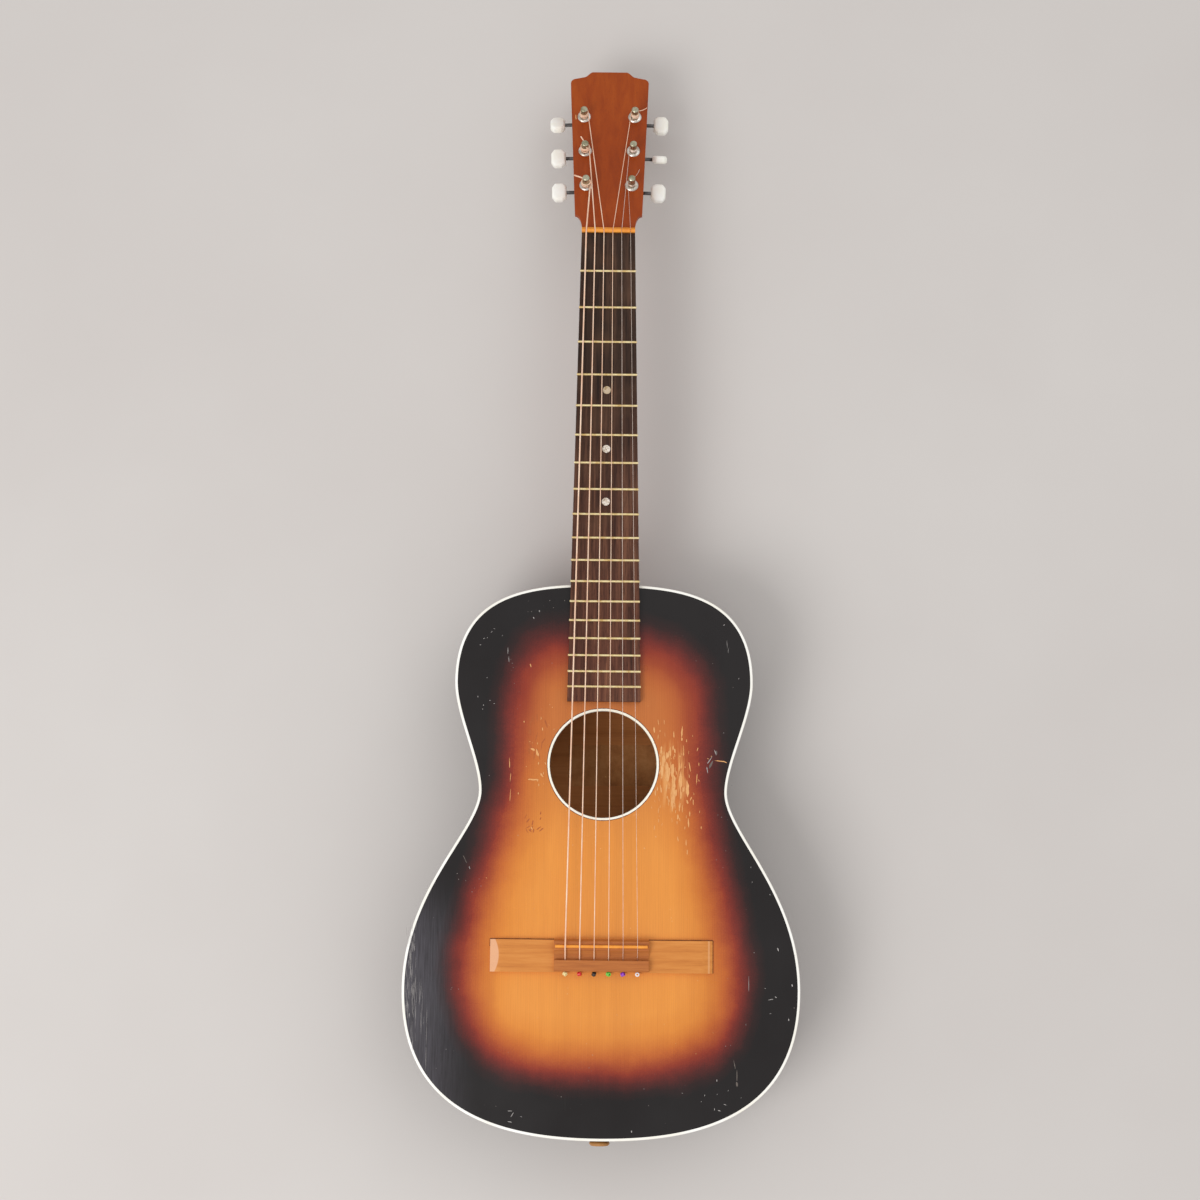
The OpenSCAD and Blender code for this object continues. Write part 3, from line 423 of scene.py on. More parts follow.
def bridge_finish():
    """Bridge wood along X, with one pale rubbed wing end; painted shade darkens the raised block and its
    trough, and a painted highlight lightens a facet near the treble end.
    """
    shade = Shade("bridge_wood", coat=0.1, coat_roughness=0.25)
    long_way = shade.mapped((0.05, 1, 1))
    streaks = shade.noise(220, 5, 0.6, 0.4, long_way)
    fine = shade.noise(1300, 4, 0.7, 0.2, long_way)
    tone = shade.plus(shade.times(streaks, 0.65), shade.times(fine, 0.35))
    # painted shade: the raised block, trough included, takes a darker copy of the wings' wood
    wing = shade.ramp(tone, [(0.3, (190, 112, 44)), (0.5, (210, 132, 58)), (0.7, (224, 150, 76))])
    block = shade.ramp(tone, [(0.3, (146, 78, 32)), (0.5, (180, 104, 46)), (0.7, (200, 124, 60))])
    raised = shade.span(shade.axis("Z"), (TOP_Z + 4.2) * MM, (TOP_Z + 5.0) * MM)
    colour = shade.mix(raised, wing, block)
    # the end of the bass wing is rubbed pale inside an arc
    end = low("bridge").x
    middle = (low("bridge").y + high("bridge").y) / 2
    bow = shade.minus(shade.axis("Y"), middle * MM)
    bow = shade.times(shade.times(bow, bow), -18.0)
    along = shade.minus(shade.axis("X"), end * MM)
    pale = shade.span(shade.minus(along, bow), 0.0072, 0.0078, 0.75, 0.0)
    colour = shade.mix(pale, colour, (232, 178, 140))
    # painted highlight: a lighter band a little in from the treble end stands in for light on the wing's
    # facet
    far_end = high("bridge").x
    painted_facet_highlight = shade.times(shade.span(shade.axis("X"), (far_end - 4.2) * MM, (far_end - 3.8) * MM),
                       shade.span(shade.axis("X"), (far_end - 2.6) * MM, (far_end - 2.2) * MM, 0.5, 0.0))
    colour = shade.mix(painted_facet_highlight, colour, (236, 176, 124))
    rough = shade.span(fine, 0.35, 0.65, 0.4, 0.6)
    shade.done(colour, rough, shade.bump(fine, 0.00008, 0.5))


def painted_brass(name, paint):
    """Lacquered ball end with chipped paint over brass and a glint of gloss."""
    shade = Shade(name, coat=0.5, coat_roughness=0.1, gloss=0.5)
    chips = shade.noise(900, 3, 0.6)
    colour = shade.mix(shade.span(chips, 0.6, 0.68), paint, (206, 170, 110))
    shade.done(colour, shade.span(chips, 0.3, 0.7, 0.25, 0.5), shade.bump(chips, 0.00005, 0.5))


def binding_plastic(name, fresh, aged):
    """Cream binding, yellowed in patches, with dirt and a few dark nicks."""
    shade = Shade(name, coat=0.2, coat_roughness=0.2)
    patches = shade.noise(20, 3, 0.6)
    dirt = shade.noise(260, 4, 0.7)
    nicks = shade.cells(150)
    colour = shade.mix(shade.span(patches, 0.35, 0.7), fresh, aged)
    colour = shade.mix(shade.span(dirt, 0.62, 0.8, 0.0, 0.4), colour, (190, 174, 146))
    worn = shade.times(shade.span(nicks, 0.06, 0.12, 1.0, 0.0),
                      shade.span(shade.noise(23, 2), 0.6, 0.64))
    colour = shade.mix(worn, colour, (90, 66, 50))
    rough = shade.span(dirt, 0.3, 0.8, 0.3, 0.5)
    shade.done(colour, rough, shade.bump(dirt, 0.00004, 0.4))


def pearl():
    """Clouded pearl of the position dots."""
    shade = Shade("pearl", coat=0.5, coat_roughness=0.1)
    clouds = shade.noise(420, 3, 0.6, 1.2)
    colour = shade.ramp(clouds, [(0.38, (150, 130, 104)), (0.48, (216, 202, 184)),
                                 (0.6, (238, 228, 218))])
    # the dot nearest the nut is browner than the others
    first = high("position_dots").y
    nearest = shade.span(shade.axis("Y"), (first - 12) * MM, (first - 10) * MM, 0.0, 0.6)
    colour = shade.mix(nearest, colour, (178, 146, 92))
    shade.done(colour, shade.span(clouds, 0.3, 0.7, 0.2, 0.4), shade.bump(clouds, 0.00004, 0.4))


def paper():
    """A blank label, browned and foxed."""
    shade = Shade("aged_paper")
    foxing = shade.noise(70, 4, 0.7)
    fibres = shade.noise(1400, 3, 0.8)
    colour = shade.ramp(foxing, [(0.3, (170, 108, 60)), (0.5, (192, 128, 74)), (0.7, (206, 144, 88))])
    colour = shade.mix(shade.span(fibres, 0.5, 0.8, 0.0, 0.3), colour, (118, 76, 42))
    shade.done(colour, shade.span(fibres, 0.3, 0.7, 0.8, 0.95), shade.bump(fibres, 0.00005, 0.5))


def floor_paint():
    """Plain pale grey floor with the faintest unevenness."""
    shade = Shade("floor")
    cloud = shade.noise(1.6, 4, 0.6)
    colour = shade.mix(shade.span(cloud, 0.3, 0.7), (212, 207, 203), (206, 200, 196))
    shade.done(colour, shade.span(cloud, 0.3, 0.7, 0.75, 0.85))


ALONG_X = (0.05, 1, 1)
ALONG_Y = (1, 0.05, 1)
for make_look in (lacquer_top, bare_chip, stained_body, neck_finish, rosewood, bridge_finish, pearl, paper,
                  floor_paint):
    make_look()
# lacquer rubbed grey, pale scratches in black lacquer, old glue in the gaps and painted shadow beside the
# bridge, grime in the lacquer
flat_mark("grey_scuff", (128, 118, 110), (84, 74, 70), (900, 4, 0.7), (0.5, 0.75), (0.00006, 0.7),
          (0, 0, 0.2))
flat_mark("grey_chip", (204, 198, 194), (132, 126, 124), (1100, 4, 0.7), (0.55, 0.8), (0.00005, 0.6),
          (0, 0, 0))
flat_mark("glue_line", (88, 38, 18), (134, 70, 34), (420, 3, 0.6), (0.6, 0.8), (0.00005, 0.6))
flat_mark("dark_smudge", (164, 84, 40), (184, 100, 50), (700, 4, 0.7), (0.4, 0.65), (0.00005, 0.6))
wood("inside_wood", (160, 94, 44), (200, 128, 70), (220, 150, 90), ALONG_X, roughness=0.75)
wood("pin_wood", (150, 96, 48), (196, 140, 80), (214, 162, 100), ALONG_Y, grain=900)
binding_plastic("cream_binding", (255, 253, 248), (248, 243, 230))
binding_plastic("ring_plastic", (255, 252, 240), (250, 242, 220))
plastic("amber_plastic", (250, 166, 62), (228, 134, 44), (130, 70, 26))
plastic("button_plastic", (255, 254, 248), (252, 248, 234), (214, 202, 176))
metal("nickel", (236, 230, 222), (176, 166, 150), 0.28)
metal("post_nickel", (196, 192, 168), (142, 138, 108), 0.34)
metal("dark_steel", (112, 110, 110), (62, 58, 56), 0.38)
metal("fret_brass", (252, 232, 180), (214, 180, 118), 0.34)
metal("gear_brass", (206, 172, 104), (126, 96, 54), 0.36)
metal("string_steel", (250, 232, 220), (226, 200, 184), 0.42)
wound_metal("bronze", (255, 226, 200), (244, 192, 158), 0.35)
BALL_PAINTS = {
    "ball_cream": (240, 222, 160), "ball_red": (222, 44, 48), "ball_black": (34, 26, 26),
    "ball_green": (104, 204, 70), "ball_purple": (150, 56, 200), "ball_white": (236, 234, 238),
}
for name, paint in BALL_PAINTS.items():
    painted_brass(name, paint)


# ---- mesh helpers ----

def piece(name, verts, faces, look, body=BODY, replaced=(), indices=None, sharp=40):
    """A new mesh from millimetre points, riding on a body in place of some CAD nodes."""
    mesh = bpy.data.meshes.new(name)
    mesh.from_pydata([tuple(c * MM for c in v) for v in verts], [], faces)
    looks = [look] if isinstance(look, str) else look
    for key in looks:
        mesh.materials.append(LOOKS[key])
    if indices is not None:
        mesh.polygons.foreach_set("material_index", indices)
    return finished(name, mesh, body, replaced, sharp)


def finished(name, mesh, body, replaced, sharp, bevel=0.0):
    """The mesh as a smooth-shaded piece, its edges rounded if bevel (mm) is not 0."""
    mesh.validate()
    mesh.shade_smooth()
    mesh.set_sharp_from_angle(angle=math.radians(sharp))
    thing = bpy.data.objects.new(name, mesh)
    bpy.context.scene.collection.objects.link(thing)
    if bevel:
        soften = thing.modifiers.new("worn_edges", "BEVEL")
        soften.width = bevel * MM
        soften.segments = 2
        soften.limit_method = "ANGLE"
        soften.angle_limit = math.radians(sharp)
        even = thing.modifiers.new("even_shading", "WEIGHTED_NORMAL")
        even.weight = 100
        even.keep_sharp = True
    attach(thing, body)
    if replaced:
        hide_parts(*replaced)
    return thing


def refined(node, name, look, sharp, bevel=0.0):
    """A smooth-shaded copy of a CAD node's surface with welded points and worn edges."""
    weld_gap, flat_angle = 2e-6, math.radians(0.4)
    source = NODES[node]
    work = bmesh.new()
    work.from_mesh(source.data)
    bmesh.ops.remove_doubles(work, verts=work.verts, dist=weld_gap)
    bmesh.ops.recalc_face_normals(work, faces=work.faces)
    bmesh.ops.dissolve_limit(work, angle_limit=flat_angle, verts=work.verts, edges=work.edges)
    mesh = bpy.data.meshes.new(name)
    work.to_mesh(mesh)
    work.free()
    mesh.materials.clear()
    mesh.materials.append(LOOKS[look])
    return finished(name, mesh, source["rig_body"], [node], sharp, bevel)


def curve_point(c, t):
    """The point at t on a cubic curve of four control points."""
    a, b, p, q = (np.array(v, float) for v in c)
    return (1 - t) ** 3 * a + 3 * (1 - t) ** 2 * t * b + 3 * (1 - t) * t * t * p + t ** 3 * q


def curve_slope(c, t):
    """The direction at t on a cubic curve of four control points."""
    a, b, p, q = (np.array(v, float) for v in c)
    return (1 - t) ** 2 * (b - a) + 2 * (1 - t) * t * (p - b) + t * t * (q - p)


def body_curves():
    """Half of the body's outline, as curves of (x, d) points from the neck joint to the tail."""
    top = JOINT_D - 0.6
    upper = JOINT_D + 0.179 * BODY_LENGTH
    waist = JOINT_D + 0.38 * BODY_LENGTH
    lower = JOINT_D + 0.734 * BODY_LENGTH
    return [
        [(0, top), (0.46 * UPPER_X, top), (UPPER_X, upper - 0.95 * (upper - top)), (UPPER_X, upper)],
        [(UPPER_X, upper), (UPPER_X, upper + 0.31 * (waist - upper)),
         (WAIST_X, waist - 0.27 * (waist - upper)), (WAIST_X, waist)],
        [(WAIST_X, waist), (WAIST_X, waist + 0.2 * (lower - waist)),
         (LOWER_X, lower - 0.5 * (lower - waist)), (LOWER_X, lower)],
        [(LOWER_X, lower), (LOWER_X, lower + 0.85 * (TAIL_D - lower)),
         (0.48 * LOWER_X, TAIL_D), (0, TAIL_D)],
    ]


def body_outline(inset):
    """The body's outline, moved inwards by inset, as (x, y) points all the way round."""
    steps = 48
    half = []
    for curve in body_curves():
        for k in range(steps):
            point = curve_point(curve, k / steps)
            slope = curve_slope(curve, k / steps)
            out = np.array([slope[1], -slope[0]]) / np.hypot(*slope)
            x, d = point - inset * out
            half.append((x, at(max(d, JOINT_D + inset))))
    half.append((0, at(TAIL_D - inset)))
    return half + [(-x, y) for x, y in reversed(half[1:-1])]


def arch(x):
    """Height of the arched back's outside at x."""
    return BACK_RADIUS - math.sqrt(BACK_RADIUS ** 2 - x * x)


def strips(count, rows, closed_rows=False):
    """Faces of a closed ribbon: rows of count points each, joined to the next row."""
    faces = []
    for row in range(rows if closed_rows else rows - 1):
        nxt = (row + 1) % rows
        for k in range(count):
            l = (k + 1) % count
            faces.append((row * count + k, row * count + l, nxt * count + l, nxt * count + k))
    return faces


def rings(rim, hole, count, height):
    """Rows of points from a circle round the soundhole's centre out to the rim, each at height(x, y)."""
    centre = np.array([0, HOLE_Y])
    points = []
    for row in range(count):
        t = row / (count - 1)
        for x, y in rim:
            away = np.array([x - centre[0], y - centre[1]])
            start = hole / np.hypot(*away)
            px, py = centre + away * (start + (1 - start) * t)
            points.append((px, py, height(px, py)))
    return points


def ribbon(rows):
    """Points and faces of a closed solid from rows of points that run round it."""
    return [p for row in rows for p in row], strips(len(rows[0]), len(rows), True)


def tube(path, radius):
    """Points and faces of a round wire along a path of Vectors."""
    sides = 10
    points = []
    normal = Vector((0, 0, 1))
    for k, spot in enumerate(path):
        ahead = path[min(k + 1, len(path) - 1)] - path[max(k - 1, 0)]
        ahead.normalize()
        across = normal - ahead * normal.dot(ahead)
        if across.length < 1e-4:
            across = ahead.orthogonal()
        across.normalize()
        normal = across
        third = ahead.cross(across)
        for j in range(sides):
            a = 2 * math.pi * j / sides
            points.append(tuple(spot + across * radius * math.cos(a) + third * radius * math.sin(a)))
    faces = strips(sides, len(path))
    faces.append(tuple(range(sides)))
    faces.append(tuple(reversed(range((len(path) - 1) * sides, len(path) * sides))))
    return points, faces


def smooth_stretch(a, b, c, d, steps):
    """Points from b up to c on the smooth curve that passes through a, b, c and d."""
    stretch = []
    for step in range(steps):
        t = step / steps
        stretch.append(0.5 * (2 * b + (c - a) * t + (2 * a - 5 * b + 4 * c - d) * t ** 2
                              + (3 * b - a - 3 * c + d) * t ** 3))
    return stretch


def joined(parts):
    """Several (points, faces) as one."""
    points, faces = [], []
    for p, f in parts:
        base = len(points)
        points += p
        faces += [tuple(i + base for i in face) for face in f]
    return points, faces


# ---- body ----

# centre of the red band as (x, distance down the strings, softness), clockwise from the top
BAND = [
    (0, 370, 1.4), (42, 375, 1.4), (68, 391, 1.3), (80, 420, 1.15), (84, 487, 1.1), (95, 545, 1.0),
    (108, 600, 1.0), (117, 650, 1.0), (108, 700, 1.0), (78, 726, 1.0), (34, 735, 1.0), (-34, 735, 1.0),
    (-78, 726, 1.0), (-106, 703, 1.0), (-119, 655, 1.0), (-110, 600, 1.0), (-95, 547, 1.0),
    (-79, 489, 1.0), (-75, 421, 1.1), (-66, 390, 1.3), (-42, 375, 1.4),
]


def band_curve():
    """A smooth closed curve through the band's points, each with its softness."""
    points = [np.array((x, at(d), s), float) for x, d, s in BAND]
    count = len(points)
    curve = []
    for k in range(count):
        after, beyond = points[(k + 1) % count], points[(k + 2) % count]
        curve += smooth_stretch(points[k - 1], points[k], after, beyond, 14)
    return np.array(curve)


def burst_value(points):
    """Signed distance of each point inside the red band, stretched by the band's softness."""
    curve = band_curve()
    centre = np.array([0, HOLE_Y])
    spots = np.array([p[:2] for p in points])
    gaps = spots[:, None, :] - curve[None, :, :2]
    near = np.argmin((gaps ** 2).sum(2), axis=1)
    gap = np.sqrt((gaps ** 2).sum(2).min(1))
    rays = (curve[:, :2] - centre).T
    spot_rays = (spots - centre).T
    bearings = np.arctan2(rays[1], rays[0])
    order = np.argsort(bearings)
    limit = np.interp(np.arctan2(spot_rays[1], spot_rays[0]), bearings[order], np.hypot(*rays)[order],
                      period=2 * math.pi)
    inside = np.hypot(*spot_rays) < limit
    return np.where(inside, gap, -gap) / curve[near, 2]


def make_top():
    """The soundboard, in fine rows from the soundhole out to the binding, carrying its burst value."""
    rim = body_outline(BINDING_WIDTH)
    count, rows = len(rim), 64
    face = rings(rim, RING_RADIUS, rows, lambda x, y: TOP_Z)
    under = rings(rim, RING_RADIUS, 2, lambda x, y: INSIDE_Z)
    points = face + under
    faces = strips(count, rows)
    base = rows * count
    faces += [tuple(i + base for i in reversed(f)) for f in strips(count, 2)]
    edge = (rows - 1) * count
    for k in range(count):
        l = (k + 1) % count
        faces.append((l, k, base + k, base + l))
        faces.append((edge + k, edge + l, base + count + l, base + count + k))
    upper = (rows - 1) * count
    indices = [0] * upper + [1] * (len(faces) - upper)
    faces = [tuple(reversed(f)) for f in faces]
    top = piece("sunburst_top", points, faces, ["sunburst", "inside_wood"],
                replaced=["top_plate"], indices=indices)
    layer = top.data.attributes.new("burst", "FLOAT", "POINT")
    layer.data.foreach_set("value", burst_value(points).astype(np.float32))


def make_back():
    """The arched back with a rounded outer edge, both faces filled in from the rim."""
    edge_round, middle_gap = 0.9, 2
    rim = body_outline(0)
    inner = body_outline(edge_round)
    count, rows = len(rim), 40
    outside = rings(inner, middle_gap, rows, lambda x, y: arch(x))
    wall_low = [(x, y, arch(x) + edge_round) for x, y in rim]
    wall_high = [(x, y, arch(x) + BACK_THICKNESS) for x, y in rim]
    inside = rings(rim, middle_gap, rows, lambda x, y: arch(x) + BACK_THICKNESS)
    # the inside's rows run from the rim inwards so that the whole shell is one ribbon
    ordered = []
    for row in range(rows - 1, -1, -1):
        ordered += inside[row * count:(row + 1) * count]
    points = outside + wall_low + wall_high + ordered
    total = 2 * rows + 2
    faces = strips(count, total)
    faces.append(tuple(reversed(range(count))))
    faces.append(tuple(range((total - 1) * count, total * count)))
    outer_faces = (rows + 1) * count
    indices = [0] * outer_faces + [1] * (len(faces) - outer_faces)
    indices[-2] = 0
    piece("arched_back", points, faces, ["body_stain", "inside_wood"],
          replaced=["back_plate"], indices=indices)


def ring_of(inset, height):
    """The body's outline moved inwards by inset, each point at height(x)."""
    return [(x, y, height(x)) for x, y in body_outline(inset)]


def make_sides():
    """Both bent sides in one: outside, upper edge, inside and lower edge."""
    heights = [lambda x: arch(x) + BACK_THICKNESS, lambda x: BINDING_Z * 0.5, lambda x: BINDING_Z]
    rows = [ring_of(0, height) for height in heights]
    rows += [ring_of(SIDE_THICKNESS, height) for height in reversed(heights)]
    points, faces = ribbon(rows)
    count = len(rows[0])
    indices = [0] * (3 * count) + [1] * (2 * count) + [0] * count
    piece("bent_sides", points, faces, ["body_stain", "inside_wood"],
          replaced=["side_bass", "side_treble"], indices=indices)


def make_binding():
    """The binding strip round the top, its outer corner rounded."""
    round_off = 0.7
    rows = [ring_of(0, lambda x: BINDING_Z)]
    for k in range(4):
        a = math.radians(30 * k)
        rows.append(ring_of(round_off * (1 - math.cos(a)),
                            lambda x, a=a: TOP_Z - round_off * (1 - math.sin(a))))
    rows.append(ring_of(BINDING_WIDTH, lambda x: TOP_Z))
    rows.append(ring_of(BINDING_WIDTH, lambda x: BINDING_Z))
    points, faces = ribbon(rows)
    piece("edge_binding", points, faces, "cream_binding", replaced=["binding"])


def circle(radius, z, steps):
    """Points round the soundhole's centre."""
    angles = [2 * math.pi * k / steps for k in range(steps)]
    return [(radius * math.cos(a), HOLE_Y + radius * math.sin(a), z) for a in angles]


def make_hole_ring():
    """The ring round the soundhole, its inner corner bevelled."""
    bevel_in, bevel_down = 0.3, 0.4
    profile = [(HOLE_RADIUS, INSIDE_Z), (HOLE_RADIUS, TOP_Z - bevel_down), (HOLE_RADIUS + bevel_in, TOP_Z),
               (RING_RADIUS, TOP_Z), (RING_RADIUS, INSIDE_Z)]
    points, faces = ribbon([circle(radius, z, 200) for radius, z in profile])
    faces = [tuple(reversed(f)) for f in faces]
    piece("hole_binding", points, faces, "ring_plastic", replaced=["soundhole_ring"])


make_top()
make_back()
make_sides()
make_binding()
make_hole_ring()


# ---- marks on the top ----

def splinter(x, y, length, width, turn, z):
    """An irregular thin patch: a ragged outline round a centre, flat at height z."""
    count = 12
    outline = []
    for k in range(count):
        a = 2 * math.pi * k / count
        reach = random.uniform(0.65, 1.1)
        u = math.sin(a) * length / 2 * reach
        v = math.cos(a) * width / 2 * random.uniform(0.6, 1.15)
        outline.append((x + v * math.cos(turn) - u * math.sin(turn),
                        y + v * math.sin(turn) + u * math.cos(turn), z))
    return outline + [(x, y, z)], [(k, (k + 1) % count, count) for k in range(count)]


def marks(name, look, rows):
    """One piece of all the splinters in rows of (x, d, length, width, turn in degrees)."""
    lift, step = 0.04, 0.0006
    parts = []
    for k, (x, d, long, wide, turn) in enumerate(rows):
        parts.append(splinter(x, at(d), long, wide, math.radians(turn), TOP_Z + lift + step * k))
    points, faces = joined(parts)
    piece(name, points, faces, look)


def scattered(count, x_range, d_range, long_range, wide_range, turn, spread):
    """Rows of marks laid down at random within the ranges, turned about a mean by a spread in degrees."""
    return [(random.uniform(*x_range), random.uniform(*d_range), random.uniform(*long_range),
             random.uniform(*wide_range), random.gauss(turn, spread)) for _ in range(count)]


# lacquer worn through beside the soundhole by the player's fingers
pick_wear = [(44, 444, 5, 1.8, 5), (49, 445, 2, 1, 0), (61, 448, 6, 1.2, 3), (68, 446, 11, 1.4, -4),
             (68, 452, 3, 1.8, 0), (72, 453, 3, 0.8, 0), (50, 461, 8, 1.6, -6), (55, 466, 7, 1.6, 0),
             (58, 463, 10, 1.3, 0), (62, 462, 4, 1.5, 8), (55, 476, 11, 3.6, 0), (60, 479, 15, 3.2, -3),
             (51, 479, 14, 2.2, 0), (55, 494, 7, 1.6, -8), (60, 496, 12, 2.2, 0), (60, 506, 14, 2.2, 2),
             (60, 512, 6, 1.1, 0), (63, 498, 7, 2.0, -4), (66, 476, 9, 1.1, -5), (67, 485, 13, 2.2, -3),
             (67, 499, 12, 1.1, 0), (70, 495, 5, 1.1, -5), (75, 476, 10, 0.9, 10), (73, 494, 14, 2.2, 2),
             (76, 503, 4, 1.0, -20), (73, 506, 4, 1.6, 20), (78, 506, 6, 0.8, 0), (81, 486, 11, 0.8, -3),
             (65, 519, 5, 1.6, 0), (75, 516, 5, 1.0, 0), (74, 524, 9, 1.1, 4), (85, 528, 3, 0.8, 0),
             (65, 538, 5, 0.9, 8), (72, 541, 6, 0.9, 0), (73, 549, 5, 0.9, 0), (36, 546, 1.4, 1.3, 0),
             (46, 536, 1.6, 0.8, 0), (47, 495, 4, 1.1, 0), (56, 481, 16, 4.6, -2), (61, 489, 14, 4, 3),
             (61, 501, 17, 3.6, 1), (52, 471, 12, 3, -4), (67, 488, 15, 3.2, -3), (73, 495, 14, 3, 1)]
pick_wear += scattered(40, (49, 70), (458, 512), (2, 8), (0.5, 1.2), 0, 6)
pick_wear += scattered(50, (42, 84), (436, 530), (1.5, 6), (0.3, 0.7), 0, 8)
worn_left = [(-61, 462, 5, 2.0, 60), (-57, 465, 7, 2.2, 15), (-60, 488, 10, 1.6, 88),
             (-53, 484, 4, 1.7, 35), (-62, 488, 6, 1.2, 80), (-61, 530, 3, 1.0, 20),
             (-81, 474, 12, 0.6, 2), (-80, 486, 10, 0.5, -3), (-80, 502, 12, 0.6, -3), (-73, 500, 2, 1, 0),
             (-69, 438, 2, 1.1, 0), (-64, 389, 3, 1, 20)]
worn_left += scattered(10, (-66, -48), (430, 500), (1, 4), (0.4, 0.9), 0, 30)
worn_left += scattered(26, (-100, 100), (430, 720), (0.8, 2), (0.3, 0.6), 0, 60)
marks("bare_patches", "bare_chip", pick_wear + worn_left)
marks("waist_scratch", "bare_chip", [(101, 470.5, 9, 1.0, 84), (105, 471, 5, 0.8, 70)])

rim_marks = [(-84, 376, 7, 0.5, 0), (-83, 384, 6, 0.5, 5), (-62, 347, 2, 1.0, 30), (-57, 341, 2, 0.9, 0),
             (-148, 690, 16, 0.22, 0), (-148, 705, 20, 0.22, 0), (-148, 725, 22, 0.22, 0),
             (-114, 564, 3, 0.7, 20), (151, 631, 3, 1.0, 20), (163, 661, 2.5, 1.2, 10),
             (145, 673, 5, 0.6, 100), (149, 671, 2, 0.8, 60), (160, 690, 2.5, 0.9, 0),
             (-76, 768, 4, 0.7, 90), (-74, 771, 5, 0.7, -30), (-76, 777, 4, 0.6, 80),
             (99, 741, 2, 0.9, 0), (106, 761, 3, 0.6, 70), (101, 766, 3, 0.6, 75),
             (97, 765, 2, 0.7, 0), (27, 784, 2.2, 0.9, 0),
             (126, 660, 14, 0.4, 0), (97, 463, 5, 0.6, 20), (92, 470, 9, 0.7, -35), (90, 478, 6, 0.9, 10)]
rim_marks += scattered(70, (-167, -158), (615, 690), (4, 18), (0.12, 0.26), 1, 2)
rim_marks += scattered(18, (-163, -148), (660, 725), (8, 26), (0.1, 0.16), 0, 1.5)
rim_marks += scattered(8, (-150, 150), (745, 775), (0.8, 1.6), (0.3, 0.5), 0, 60)
rim_marks += scattered(12, (-110, -88), (345, 440), (0.8, 2), (0.35, 0.6), 0, 60)
rim_marks += scattered(4, (100, 122), (345, 520), (0.8, 2), (0.35, 0.6), 0, 60)
rim_marks += [(107, 369, 8, 0.3, 4), (108, 374, 5, 0.3, -3)]
rim_marks += scattered(7, (120, 155), (560, 720), (0.8, 2), (0.3, 0.5), 0, 60)
marks("rim_scratches", "grey_chip", rim_marks)
marks("waist_rubs", "grey_scuff", [(93, 474, 9, 1.8, -25), (98, 463, 4, 1.4, 0), (-118, 557, 9, 0.8, 25),
                                   (114, 728, 9, 0.6, 12), (116, 737, 10, 0.9, 0), (116, 744, 5, 1.8, 15)])
marks("grime_spots", "dark_smudge",
      scattered(16, (-66, -48), (434, 468), (4, 10), (0.6, 1.4), 0, 12)
      + scattered(12, (-67, -52), (516, 533), (3, 6), (0.6, 1.4), 0, 40))


def line_strip(points, width):
    """A flat ragged-edged strip just above the top along a few corner points."""
    height = TOP_Z + 0.05
    verts, faces = [], []
    for k in range(len(points) - 1):
        a, b = Vector(points[k]), Vector(points[k + 1])
        steps = max(2, int((b - a).length / 3))
        across = Vector((-(b - a).y, (b - a).x)).normalized()
        for step in range(steps + 1):
            spot = a.lerp(b, step / steps)
            half = width / 2 * random.uniform(0.7, 1.15)
            if step:
                n = len(verts)
                faces.append((n - 2, n - 1, n + 1, n))
            verts.append((*(spot + across * half), height))
            verts.append((*(spot - across * half), height))
    return verts, faces


def make_bridge_glue_and_shadow():
    """Dark line of glue and painted shadow along the front and ends of the bridge's wings, which stand back
    from its block.
    """
    set_back, side_gap, gap = 0.9, 0.2, 0.3
    left, rear, _ = low("bridge")
    right, front, _ = high("bridge")
    front -= set_back
    route = [(left - side_gap, front - 6), (left - side_gap, front + gap),
             (right + gap, front + gap), (right + gap, rear)]
    points, faces = line_strip(route, 0.9)
    piece("bridge_glue_and_painted_shadow", points, faces, "glue_line")


def make_ring_seam():
    """Dark seam between the soundhole's ring and the top."""
    route = [(x, y) for x, y, _ in circle(RING_RADIUS - 0.1, 0, 90)]
    points, faces = line_strip(route + route[:1], 0.62)
    piece("ring_seam", points, faces, "glue_line")


def make_label():
    """A blank paper label glued inside on the back a little askew, its corners lifting."""
    left, length, width = -31, 88, 37
    middle, skew = at(469.5), 0.012
    paper_gap, corner_lift = 0.15, 1.6
    across, along = 24, 12
    verts, faces = [], []
    for j in range(along + 1):
        for k in range(across + 1):
            u, v = k / across, j / along
            x = left + length * u
            y = middle + width * (v - 0.5) + skew * x
            lift = corner_lift * (abs(2 * u - 1) ** 6) * (abs(2 * v - 1) ** 4)
            verts.append((x, y, arch(x) + BACK_THICKNESS + paper_gap + lift))
    for j in range(along):
        for k in range(across):
            a = j * (across + 1) + k
            faces.append((a, a + 1, a + across + 2, a + across + 1))
    piece("blank_label", verts, faces, "aged_paper")


make_bridge_glue_and_shadow()
make_ring_seam()
make_label()


# ---- carried-over nodes ----

for node, name, look, sharp, bevel in [
        ("neck", "shaped_neck", "neck_stain", 34, 0.5),
        ("fingerboard", "fretboard", "rosewood", 32, 0.25),
        ("frets", "fret_wires", "fret_brass", 40, 0.0),
        ("position_dots", "inlay_dots", "pearl", 32, 0.0),
        ("nut", "string_nut", "amber_plastic", 32, 0.25),
        ("saddle", "string_saddle", "amber_plastic", 32, 0.25),
        ("bridge", "tie_bridge", "bridge_wood", 30, 0.35),
        ("end_pin", "strap_button", "pin_wood", 35, 0.0),
        ("tuner_plate_bass", "bass_plate", "nickel", 32, 0.2),
        ("tuner_plate_treble", "treble_plate", "nickel", 32, 0.2),
        ("post_bushings", "bushings", "nickel", 34, 0.0),
        ("plate_screws", "screws", "nickel", 34, 0.0)]:
    refined(node, name, look, sharp, bevel)

